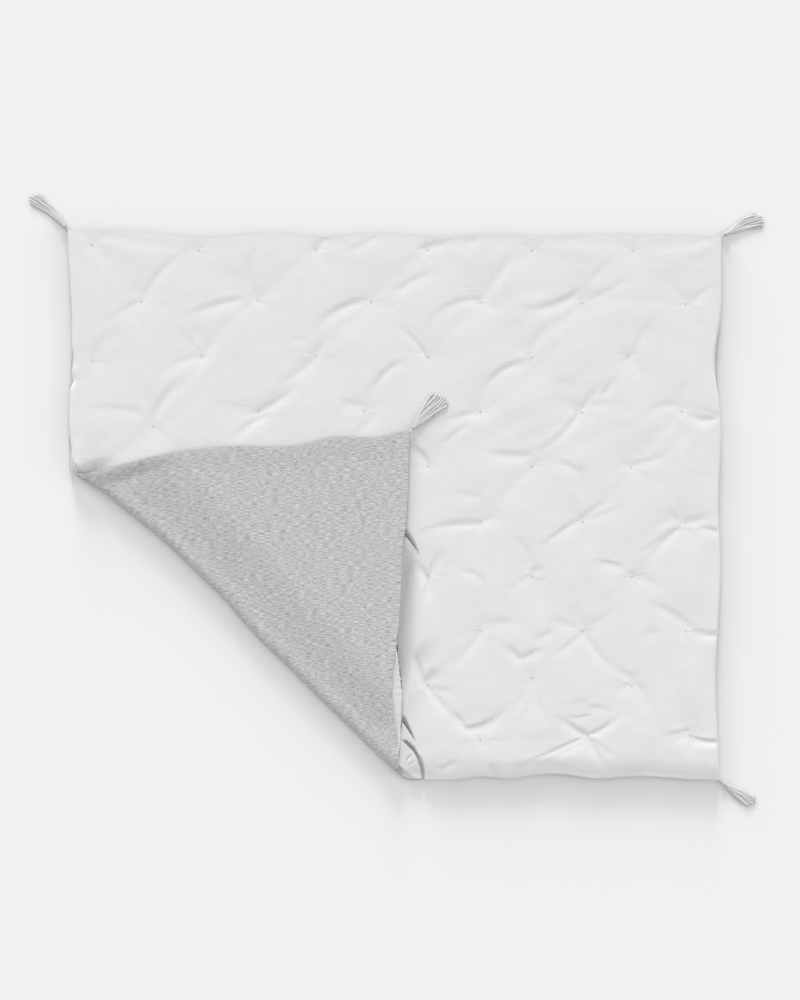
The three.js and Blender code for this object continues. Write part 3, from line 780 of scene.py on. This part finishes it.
def face_shape(us, vs):
    """The (u, v) and the height of every point of the face's top."""
    u, v = spread_grid(us, vs)
    moved = np.zeros((len(u), 3))
    sim_us, sim_vs = grid(WIDTH, SIM_STEP), grid(LENGTH, SIM_STEP)
    moved = finer(settled_face(sim_us, sim_vs), us, vs)

    x, y = laid(u, v)
    _, radius, _, past = fold_place(x, y)
    free = freedom(x, y, past)
    folded = seam_point(u, v)
    open_side = past < math.pi / 2 * radius
    hollow = crease_relief(folded[:, 0], folded[:, 1], HOLLOWS) * open_side
    lapped = crease_laps(folded[:, 0], folded[:, 1], HOLLOWS) * open_side
    relief = CREASE_KEEP * crease_relief(x, y, CREASES) + SMALL_KEEP * crease_relief(x, y, small_creases())
    uneven = sum(row["by"] * MM * wander(u, v, row["cell"] * MM, row["seed"]) for row in UNEVEN)
    full = dome(u, v) - edge_lift(u, v, past) + moved[:, 2] + relief + uneven
    height = RIM_THICK + (full - RIM_THICK) * rise(u, v)
    away = np.maximum(0, np.maximum(-past, past - math.pi * radius))
    hidden = hidden_thickness(u, v, away)
    height = lerp(np.minimum(hidden, height), height, free) + hollow
    u, v = u + moved[:, 0] * free + lapped[0], v + moved[:, 1] * free + lapped[1]
    for share, way in edge_shares(PEEKS, u, v, PEEK_REACH):
        u, v = u + way[0] * share, v + way[1] * share
    return u, v, np.maximum(height, LEAST_THICK)


# ---------------------------------------------------------------- meshes
def add_mesh(name, points, faces, cloth=None):
    mesh = bpy.data.meshes.new(name)
    mesh.from_pydata([tuple(p) for p in points], [], faces)
    if cloth is not None:
        loops = np.empty(len(mesh.loops), dtype=np.int32)
        mesh.loops.foreach_get("vertex_index", loops)
        mesh.uv_layers.new(name="cloth").data.foreach_set("uv", np.asarray(cloth)[loops].ravel())
    mesh.polygons.foreach_set("use_smooth", [True] * len(mesh.polygons))
    mesh.update()
    piece = bpy.data.objects.new(name, mesh)
    bpy.context.scene.collection.objects.link(piece)
    return piece


def grid_faces(rows, columns, first=0, flip=False):
    """Quads of a grid whose point (i, j) is number first + i * columns + j."""
    corner = np.arange(rows - 1)[:, None] * columns + np.arange(columns - 1)[None, :] + first
    corner = corner.ravel()
    quads = np.stack([corner, corner + columns, corner + columns + 1, corner + 1], axis=1)
    return (quads[:, ::-1] if flip else quads).tolist()


def rim_numbers(rows, columns):
    """The numbers of a grid's edge points, in order round it, counter-clockwise in (u, v)."""
    bottom = [i * columns for i in range(rows)]
    right = [(rows - 1) * columns + j for j in range(1, columns)]
    top = [i * columns + columns - 1 for i in range(rows - 2, -1, -1)]
    left = list(range(columns - 2, 0, -1))
    return bottom + right + top + left


def band(outer, inner):
    """Quads between two loops of the same count."""
    count = len(outer)
    return [[outer[k], inner[k], inner[(k + 1) % count], outer[(k + 1) % count]] for k in range(count)]


def make_face():
    """The filled gauze face: its creased top, the roll of its seam, and a plain underside."""
    us, vs = FACE_US, FACE_VS
    u, v, height = face_shape(us, vs)
    rim = rim_numbers(len(us), len(vs))
    even_u, even_v = (places[rim] for places in spread_grid(us, vs))
    inward_u = np.where(even_u == 0, 1, np.where(even_u == WIDTH, -1, 0))
    inward_v = np.where(even_v == 0, 1, np.where(even_v == LENGTH, -1, 0))
    u[rim] += inward_u * SEAM_TUCK
    v[rim] += inward_v * SEAM_TUCK
    top = layer(u, v, PLY_GAP + height)
    faces = grid_faces(len(us), len(vs))
    points, cloth = [top], [np.stack([u, v], axis=-1)]
    previous, count = rim, len(top)
    for inset, depth in SEAM_ROLL:
        ru, rv = u[rim] + inward_u * inset * MM, v[rim] + inward_v * inset * MM
        points.append(layer(ru, rv, np.full(len(rim), depth * MM)))
        cloth.append(np.stack([ru, rv], axis=-1))
        loop = list(range(count, count + len(rim)))
        faces += band(previous, loop)
        previous, count = loop, count + len(rim)

    under, under_cloth, under_faces = plain_underside(us, vs, dict(zip(rim, previous)), count)
    points.append(under)
    cloth.append(under_cloth)
    piece = add_mesh("face_gauze", np.concatenate(points), faces + under_faces, np.concatenate(cloth))
    piece.data.set_sharp_from_angle(angle=math.radians(55))
    return piece


def plain_underside(us, vs, rim_loop, first):
    """A coarse grid that closes the face underneath, joined to every point of its rim."""
    columns = len(vs)
    rows_kept = sorted({*range(0, len(us), UNDER_SKIP), len(us) - 1})
    columns_kept = sorted({*range(0, len(vs), UNDER_SKIP), len(vs) - 1})
    inner = [(i, j) for i in rows_kept[1:-1] for j in columns_kept[1:-1]]
    number = {ij: first + k for k, ij in enumerate(inner)}
    u = np.array([us[i] for i, _ in inner])
    v = np.array([vs[j] for _, j in inner])

    def at(i, j):
        return number[(i, j)] if (i, j) in number else rim_loop[i * columns + j]

    def side(fixed, start, end, along_u, on_rim):
        way = 1 if end > start else -1
        stops = range(start, end, way) if on_rim else (start,)
        return [at(k, fixed) if along_u else at(fixed, k) for k in stops]

    faces = []
    last_i, last_j = rows_kept[-1], columns_kept[-1]
    for i0, i1 in zip(rows_kept, rows_kept[1:]):
        for j0, j1 in zip(columns_kept, columns_kept[1:]):
            outline = side(i0, j0, j1, False, i0 == 0)
            outline += side(j1, i0, i1, True, j1 == last_j)
            outline += side(i1, j1, j0, False, i1 == last_i)
            outline += side(j0, i1, i0, True, j0 == 0)
            faces.append(outline)
    return layer(u, v, np.full(len(u), PLY_GAP)), np.stack([u, v], axis=-1), faces


def make_back():
    """The jersey back: one thin sheet, cut a seam's width smaller than the face."""
    us, vs = [
        np.sort(np.concatenate([BACK_NEAR_RIM, grid(size, BACK_STEP)[1:-1], size - BACK_NEAR_RIM]))
        for size in (WIDTH, LENGTH)
    ]
    u, v = spread_grid(us, vs)
    inner = layer(u, v, np.zeros_like(u))
    outer = layer(u, v, np.full_like(u, -JERSEY))
    rim = rim_numbers(len(us), len(vs))
    faces = grid_faces(len(us), len(vs)) + grid_faces(len(us), len(vs), len(u), flip=True)
    faces += band(rim, [k + len(u) for k in rim])
    cloth = np.stack([u, v], axis=-1)
    return add_mesh("back_jersey", np.concatenate([inner, outer]), faces, np.concatenate([cloth, cloth]))


# ---------------------------------------------------------------- tassels and stitches
class Tubes:
    """Round and twisted threads, gathered into one mesh."""

    def __init__(self):
        self.points, self.faces, self.count = [], [], 0

    def add(self, path, radius, up, sides=8, lobe=0.0, pitch=1.0, flat=1.0):
        """A closed tube along path. Its two lobes, if it has them, turn once in a pitch."""
        path = np.asarray(path)
        tangent = np.gradient(path, axis=0)
        tangent /= np.linalg.norm(tangent, axis=-1, keepdims=True)
        side = np.cross(tangent, up)
        side /= np.linalg.norm(side, axis=-1, keepdims=True)
        top = np.cross(side, tangent)
        gone = np.concatenate([[0], np.cumsum(np.linalg.norm(np.diff(path, axis=0), axis=-1))])
        around = 2 * np.pi * np.arange(sides) / sides
        twist = around[None, :] - 2 * np.pi * gone[:, None] / pitch
        size = np.broadcast_to(radius, len(path))[:, None] * (1 + lobe * np.cos(2 * twist))
        rings = path[:, None] + size[..., None] * (
            side[:, None] * np.cos(around)[None, :, None]
            + flat * top[:, None] * np.sin(around)[None, :, None]
        )
        first = self.count
        self.points.append(rings.reshape(-1, 3))
        self.count += rings.shape[0] * sides
        for s in range(len(path) - 1):
            a = first + s * sides
            self.faces += [
                [a + k, a + sides + k, a + sides + (k + 1) % sides, a + (k + 1) % sides]
                for k in range(sides)
            ]
        last = first + (len(path) - 1) * sides
        self.faces.append([first + k for k in range(sides)])
        self.faces.append([last + k for k in range(sides)][::-1])

    def piece(self, name):
        return add_mesh(name, np.concatenate(self.points), self.faces)


class Lie:
    """How one tassel lies on bed(x, y): out from its corner of the cloth, across itself, and up."""

    def __init__(self, row, bed):
        way = math.radians(row["heading"])
        self.ahead = np.array([math.cos(way), math.sin(way)])
        self.aside = np.array([-math.sin(way), math.cos(way)])
        self.bed = bed
        u, v = row["corner"][0] * WIDTH, row["corner"][1] * LENGTH
        self.corner = layer(np.array([u]), np.array([v]), np.array([0.0]))[0]

    def place(self, out, across, height):
        """Points at a height above what the tassel lies on, which is evened out along it."""
        plan = self.corner[:2] + np.outer(out, self.ahead) + np.outer(across, self.aside)
        ground = np.array([self.bed(*p) for p in plan])
        ground = np.convolve(np.pad(ground, 3, mode="edge"), np.ones(7) / 7, mode="valid")
        return np.column_stack([plan, ground + height])


def make_cord(lie):
    """Two yarns twisted round each other, from the seam's corner into the wrap."""
    cord = Tubes()
    t = np.linspace(0, 1, 16)
    out = lerp(-1.0 * MM, PLY_GAP + CORD_LENGTH + 1 * MM, t)
    start = max(lie.corner[2] - lie.bed(*lie.corner[:2]), 0)
    for phase in (0, math.pi):
        angle = phase + t * CORD_TWIST
        height = lerp(start, WRAP_RADIUS, t) + CORD_SWAY * np.sin(angle)
        cord.add(lie.place(out, CORD_SWAY * np.cos(angle), height), CORD_YARN, UP)
    return cord


def make_wrap(lie):
    """One thread wound side by side round the tassel's neck, a little fuller in the middle."""
    wrap = Tubes()
    angle = np.linspace(0, 2 * np.pi * WRAP_TURNS, 24 * WRAP_TURNS)
    thread = WRAP_LENGTH / WRAP_TURNS / 2
    out = WRAP_FROM + thread + (WRAP_LENGTH - 2 * thread) * angle / angle[-1]
    girth = (WRAP_RADIUS - thread) * (1 + 0.35 * np.sin(np.pi * angle / angle[-1]))
    coil = lie.place(out, girth * np.cos(angle), 1.15 * WRAP_RADIUS + 0.75 * girth * np.sin(angle))
    wrap.add(coil, thread, np.outer(np.cos(angle), [*lie.aside, 0]) + np.outer(np.sin(angle), UP))
    return wrap


def make_skirt(lie, row):
    """Flattened yarns in two storeys, which fan out of the wrap, bend to one side and wave."""
    rng = np.random.default_rng(len(row["name"]))
    spread, length = (row["spread"] * MM - SKIRT_YARN), row["skirt"] * MM
    skirt = Tubes()
    for storey, count in enumerate(SKIRT_STOREYS):
        for k in range(count):
            fan = lerp(-1, 1, (k + 0.5) / count) + rng.uniform(-0.07, 0.07)
            reach = (WRAP_LENGTH + length) * (1 - 0.13 * fan**2) * rng.uniform(0.97, 1.02)
            s = np.linspace(0, 1, 44)
            past_wrap = np.clip((s * reach - WRAP_LENGTH) / (reach - WRAP_LENGTH), 0, 1)
            across = lerp(1.7 * MM * fan, spread * fan * (1 - 0.1 * storey), past_wrap**0.6)
            across = across + row["bend"] * MM * past_wrap**2
            across += 2 * MM * past_wrap * np.sin(2 * np.pi * (s * rng.uniform(0.7, 1.4) + rng.uniform()))
            round_neck = 1.3 * MM * math.sqrt(1 - min(abs(fan), 1) ** 2)
            neck = 0.8 * WRAP_RADIUS + (round_neck if storey else -round_neck)
            lying = 0.55 * SKIRT_YARN + storey * STOREY_HEIGHT * (1 - 0.3 * past_wrap)
            lying = lying + 0.3 * MM * np.sin(2 * np.pi * (s + rng.uniform())) * storey
            height = lerp(neck, lying, smooth(past_wrap, 0, 0.45))
            path = lie.place(WRAP_FROM + s * reach, across, height)
            width = SKIRT_YARN * lerp(0.75, 1, smooth(past_wrap, 0, 0.4))
            skirt.add(path, width, UP, lobe=0.1, pitch=8 * MM, flat=0.42)
    return skirt


def make_tassel(row, bed):
    """The cord, the wrap and the skirt of one tassel, lying on bed(x, y)."""
    lie = Lie(row, bed)
    parts = {"cord": make_cord(lie), "wrap": make_wrap(lie), "skirt": make_skirt(lie, row)}
    for part, tubes in parts.items():
        name = f"tassel_{row['name']}_{part}"
        piece = tubes.piece(f"{part}_{row['name']}")
        piece.data.materials.append(YARN)
        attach(piece, "root")
        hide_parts(name)


def make_stitches(face):
    """A short tack of thread, sunk in the bottom of every dimple."""
    rng = np.random.default_rng(8)
    tacks = Tubes()
    for u, v in tuft_list():
        i, j = np.argmin(abs(FACE_US - u)), np.argmin(abs(FACE_VS - v))
        vertex = face.data.vertices[int(i * len(FACE_VS) + j)]
        at, up = np.array(vertex.co), np.array(vertex.normal)
        turn = rng.uniform(-0.5, 0.5)
        run = np.cross(up, [math.sin(turn), math.cos(turn), 0])
        run /= np.linalg.norm(run)
        s = np.linspace(-1, 1, 7)
        path = at + np.outer(s * TACK_HALF, run) + np.outer(TACK_RADIUS - TACK_SINK * s**2, up)
        tacks.add(path, TACK_RADIUS, up, sides=6)
    piece = tacks.piece("tuft_stitches")
    piece.data.materials.append(YARN)
    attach(piece, "root")


# ---------------------------------------------------------------- materials
# The cells of the cloths' patterns, as across and up the cloth: the gauze's weave, its crinkles both
# ways, the patches that they come in, its mottle, and the puckers square to a seam at its side. Then
# how far the puckers and a tuft's pleats reach, and how finely the pleats are divided round it.
WEAVE, CRINKLE_UP, CRINKLE_ACROSS = (0.9 * MM, 0.9 * MM), (3.2 * MM, 34 * MM), (40 * MM, 4.5 * MM)
PATCH, MOTTLE, PUCKER = (90 * MM, 90 * MM), (5 * MM, 5 * MM), (50 * MM, 6 * MM)
PUCKER_REACH, PLEAT_REACH, PLEAT_TURN, PLEAT_OUT = 11 * MM, 22 * MM, 1.7, 12
# The jersey's streaks and flecks of fibre, its slow change of tint, and its knitted loops.
STREAK, FLECK = (1.2 * MM, 12 * MM), (1.2 * MM, 5 * MM)
TINT, LOOPS = (6 * MM, 40 * MM), (1.1 * MM, 1.5 * MM)


class Finish:
    """A principled material with the cloth's own coordinates to hang patterns on."""

    def __init__(self, name, colour, roughness):
        self.material = bpy.data.materials.new(name)
        self.material.use_nodes = True
        self.nodes = self.material.node_tree.nodes
        self.links = self.material.node_tree.links
        self.shader = self.nodes["Principled BSDF"]
        self.shader.inputs["Base Color"].default_value = (*colour, 1)
        self.shader.inputs["Roughness"].default_value = roughness
        self.shader.inputs["Specular IOR Level"].default_value = 0.2

    def node(self, kind, **sockets):
        """A new node. Sockets are set by name, and linked where the value is another's output."""
        node = self.nodes.new(kind)
        for name, value in sockets.items():
            self.plug(value, node.inputs[name.replace("_", " ")])
        return node

    def plug(self, value, socket):
        if isinstance(value, bpy.types.NodeSocket):
            self.links.new(value, socket)
        else:
            socket.default_value = value

    def cloth(self, across, up):
        """The cloth's coordinates, counted in cells of across by up metres."""
        uv = self.nodes.new("ShaderNodeUVMap")
        uv.uv_map = "cloth"
        scale = (1 / across, 1 / up, 1)
        return self.node("ShaderNodeMapping", Vector=uv.outputs["UV"], Scale=scale).outputs["Vector"]

    def noise(self, vector, detail=2.0, roughness=0.5, scale=1.0):
        node = self.node(
            "ShaderNodeTexNoise", Vector=vector, Scale=scale, Detail=detail, Roughness=roughness
        )
        return node.outputs["Fac"]

    def math(self, kind, a, b=0.0, c=0.0):
        node = self.nodes.new("ShaderNodeMath")
        node.operation = kind
        for value, socket in zip((a, b, c), node.inputs):
            self.plug(value, socket)
        return node.outputs[0]

    def wave(self, vector, axis):
        """A wave of one cell from crest to crest along an axis of vector."""
        node = self.node("ShaderNodeTexWave", Vector=vector, Scale=math.pi / 10)
        node.bands_direction = axis
        node.wave_profile = "SIN"
        return node.outputs["Fac"]

    def ramp(self, value, stops):
        node = self.node("ShaderNodeValToRGB", Fac=value)
        elements = node.color_ramp.elements
        while len(elements) < len(stops):
            elements.new(1)
        for element, (at, colour) in zip(elements, stops):
            element.position = at
            element.color = (*colour, 1)
        return node.outputs["Color"]

    def mix(self, kind, share, a, b):
        node = self.nodes.new("ShaderNodeMix")
        node.data_type = "RGBA"
        node.blend_type = kind
        self.plug(share, node.inputs[0])
        self.plug(a, node.inputs[6])
        self.plug(b, node.inputs[7])
        return node.outputs[2]

    def bump(self, height, distance, strength=1.0, under=None):
        node = self.node("ShaderNodeBump", Height=height, Distance=distance, Strength=strength)
        if under is not None:
            self.links.new(under, node.inputs["Normal"])
        return node.outputs["Normal"]

    def done(self, colour, normal):
        """The material, with its colour and its bumps linked to the shader."""
        self.links.new(colour, self.shader.inputs["Base Color"])
        self.links.new(normal, self.shader.inputs["Normal"])
        return self.material


def gauze_material():
    """White muslin: a fine open weave, faint long crinkles, and pleats round the tufts and edges."""
    f = Finish("white_gauze", (0.776, 0.776, 0.77), 0.95)
    threads = f.cloth(*WEAVE)
    weave = f.math("MULTIPLY", f.wave(threads, "X"), f.wave(threads, "Y"))
    upright = f.noise(f.cloth(*CRINKLE_UP), detail=3)
    level = f.noise(f.cloth(*CRINKLE_ACROSS), detail=2)
    where = f.noise(f.cloth(*PATCH), detail=1)
    crinkle = f.math("MULTIPLY", f.math("ADD", upright, f.math("MULTIPLY", level, 0.6)), where)
    normal = f.bump(crinkle, 0.9 * MM, 0.5)
    gathers = f.math("MULTIPLY_ADD", edge_puckers(f), f.math("MULTIPLY", where, 0.6), tuft_pleats(f))
    normal = f.bump(gathers, 0.9 * MM, 1.0, normal)
    normal = f.bump(weave, 0.12 * MM, 0.2, normal)
    tone = f.noise(f.cloth(*MOTTLE), detail=4, roughness=0.7)
    colour = f.ramp(tone, [(0.3, (0.765, 0.765, 0.76)), (0.7, (0.788, 0.788, 0.784))])
    return f.done(colour, normal)


def tuft_pleats(f):
    """Fine pleats that run out of each tuft. The tufts are the whole points of a slanted grid."""
    place = f.node("ShaderNodeSeparateXYZ", Vector=f.cloth(1, 1)).outputs
    a = f.math("DIVIDE", f.math("SUBTRACT", place[0], FIRST_COLUMN), TUFT_ACROSS)
    b = f.math("DIVIDE", f.math("SUBTRACT", place[1], FIRST_ROW), TUFT_DOWN)
    p = f.math("MULTIPLY", f.math("ADD", a, b), 0.5)
    q = f.math("MULTIPLY", f.math("SUBTRACT", a, b), 0.5)
    whole_p, whole_q = f.math("ROUND", p), f.math("ROUND", q)
    off_p, off_q = f.math("SUBTRACT", p, whole_p), f.math("SUBTRACT", q, whole_q)
    x = f.math("MULTIPLY", f.math("ADD", off_p, off_q), TUFT_ACROSS)
    y = f.math("MULTIPLY", f.math("SUBTRACT", off_p, off_q), TUFT_DOWN)
    squares = f.math("ADD", f.math("POWER", x, 2), f.math("POWER", y, 2))
    away = f.math("MAXIMUM", f.math("SQRT", squares), MM)
    # The way round the tuft, moved on by a different amount at each tuft, so that no two are alike.
    round_x, round_y = [
        f.math("MULTIPLY_ADD", whole, on, f.math("MULTIPLY", f.math("DIVIDE", off, away), PLEAT_TURN))
        for whole, on, off in ((whole_p, 7.3, x), (whole_q, 5.7, y))
    ]
    around = f.node("ShaderNodeCombineXYZ", X=round_x, Y=round_y, Z=f.math("MULTIPLY", away, PLEAT_OUT))
    pleat = f.math("SUBTRACT", f.noise(around.outputs[0], detail=2), 0.5)
    fade = f.math("EXPONENT", f.math("DIVIDE", away, -PLEAT_REACH))
    return f.math("MULTIPLY", pleat, fade)


def edge_puckers(f):
    """Small gathers square to each seam, gone a little way in from it."""
    place = f.node("ShaderNodeSeparateXYZ", Vector=f.cloth(1, 1)).outputs
    total = 0.0
    for axis, size, cell in ((0, WIDTH, PUCKER), (1, LENGTH, PUCKER[::-1])):
        inside = f.math("MINIMUM", place[axis], f.math("SUBTRACT", size, place[axis]))
        fade = f.math("EXPONENT", f.math("DIVIDE", inside, -PUCKER_REACH))
        gather = f.math("SUBTRACT", f.noise(f.cloth(*cell), detail=1), 0.5)
        total = f.math("MULTIPLY_ADD", gather, fade, total)
    return total


def jersey_material():
    """Heather-grey jersey: streaks of darker and paler fibre along the rows, and a fine knit."""
    f = Finish("heather_jersey", (0.545, 0.54, 0.535), 0.95)
    streak = f.noise(f.cloth(*STREAK), detail=2, roughness=0.6)
    fleck = f.noise(f.cloth(*FLECK), detail=1, roughness=0.5)
    tint = f.noise(f.cloth(*TINT), detail=2)
    tone = f.math("ADD", f.math("MULTIPLY", streak, 0.75), f.math("MULTIPLY", fleck, 0.25))
    grey = f.ramp(tone, [
        (0.30, (0.25, 0.25, 0.252)),
        (0.44, (0.475, 0.47, 0.467)),
        (0.56, (0.64, 0.633, 0.627)),
        (0.70, (0.80, 0.793, 0.783)),
    ])
    shade = f.ramp(tint, [(0.35, (0.98, 0.98, 1.0)), (0.65, (1.0, 0.985, 0.965))])
    loops = f.cloth(*LOOPS)
    knit = f.math("MULTIPLY", f.wave(loops, "X"), f.wave(loops, "Y"))
    normal = f.bump(knit, 0.2 * MM, 0.35, f.bump(streak, 0.5 * MM, 0.35))
    return f.done(f.mix("MULTIPLY", 1.0, grey, shade), normal)


def yarn_material():
    """Off-white cotton yarn, with fine fibres along and across its twist."""
    f = Finish("tassel_yarn", (0.58, 0.58, 0.575), 0.9)
    place = f.nodes.new("ShaderNodeTexCoord").outputs["Object"]
    fibres = f.noise(place, detail=3, roughness=0.7, scale=1400)
    tone = f.noise(place, detail=2, scale=500)
    colour = f.ramp(tone, [(0.3, (0.56, 0.56, 0.555)), (0.7, (0.66, 0.66, 0.655))])
    return f.done(colour, f.bump(fibres, 0.3 * MM, 0.4))


# ---------------------------------------------------------------- camera, light and floor
# How much of the floor the frame's height takes in, and half the floor's own width, in metres.
FRAME_TALL, FLOOR_HALF = 1.84, 40
# Each lamp's share of the light on the open floor, its height and breadth in degrees, and the way it
# comes from, anticlockwise from the top of the frame.
LAMPS = table(
    "name share elevation breadth heading",
    ("key", 0.18, 10, 14, 2),
    ("left", 0.08, 12.5, 22, 42),
    ("right", 0.07, 20, 26, -90),
)


def make_camera():
    """Straight above the middle."""
    camera = bpy.data.objects.new("camera", bpy.data.cameras.new("camera"))
    camera.data.lens = 100
    height = FRAME_TALL * camera.data.lens / camera.data.sensor_width
    camera.location = (SHIFT[0], 0, height)
    bpy.context.scene.collection.objects.link(camera)
    bpy.context.scene.camera = camera


def make_light():
    """A low broad light from the top of the frame, a weaker one from each side, and a pale sky."""
    for row in LAMPS:
        height = math.radians(row["elevation"])
        lamp = bpy.data.objects.new(row["name"], bpy.data.lights.new(row["name"], "SUN"))
        lamp.data.energy = row["share"] * math.pi / math.sin(height)
        lamp.data.angle = math.radians(row["breadth"])
        # Bounces off the duvet's upper edge would turn the floor beside it to plain white.
        lamp.data.cycles.max_bounces = 0
        lamp.rotation_euler = (height - math.pi / 2, 0, math.radians(row["heading"]))
        bpy.context.scene.collection.objects.link(lamp)
    world = bpy.data.worlds.new("studio")
    bpy.context.scene.world = world
    world.use_nodes = True
    background = world.node_tree.nodes["Background"]
    background.inputs["Color"].default_value = (1, 1, 1, 1)
    background.inputs["Strength"].default_value = 1 - sum(row["share"] for row in LAMPS)
    bpy.context.scene.view_settings.view_transform = "Standard"


def make_floor():
    """A pale floor just under the duvet, far wider than the view."""
    corners = [(x * FLOOR_HALF, y * FLOOR_HALF, -PLY_GAP) for x, y in ((-1, -1), (1, -1), (1, 1), (-1, 1))]
    floor = add_mesh("floor", corners, [[0, 1, 2, 3]])
    f = Finish("floor", (0.88, 0.88, 0.88), 1)
    floor.data.materials.append(f.material)


# ---------------------------------------------------------------- the whole
make_camera()
make_light()
make_floor()
YARN = yarn_material()

face = make_face()
face.data.materials.append(gauze_material())
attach(face, "root")
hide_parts("quilted_face")

back = make_back()
back.data.materials.append(jersey_material())
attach(back, "root")
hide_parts("back_panel")

make_stitches(face)
surface = BVHTree.FromPolygons(
    [v.co for v in face.data.vertices], [tuple(p.vertices) for p in face.data.polygons]
)


def bed(x, y):
    """The height of what lies under (x, y): the face, seen from above, or else the floor."""
    hit = surface.ray_cast((x, y, 1), (0, 0, -1))[0]
    return hit.z if hit else 0.0


for tassel in TASSELS:
    make_tassel(tassel, bed)
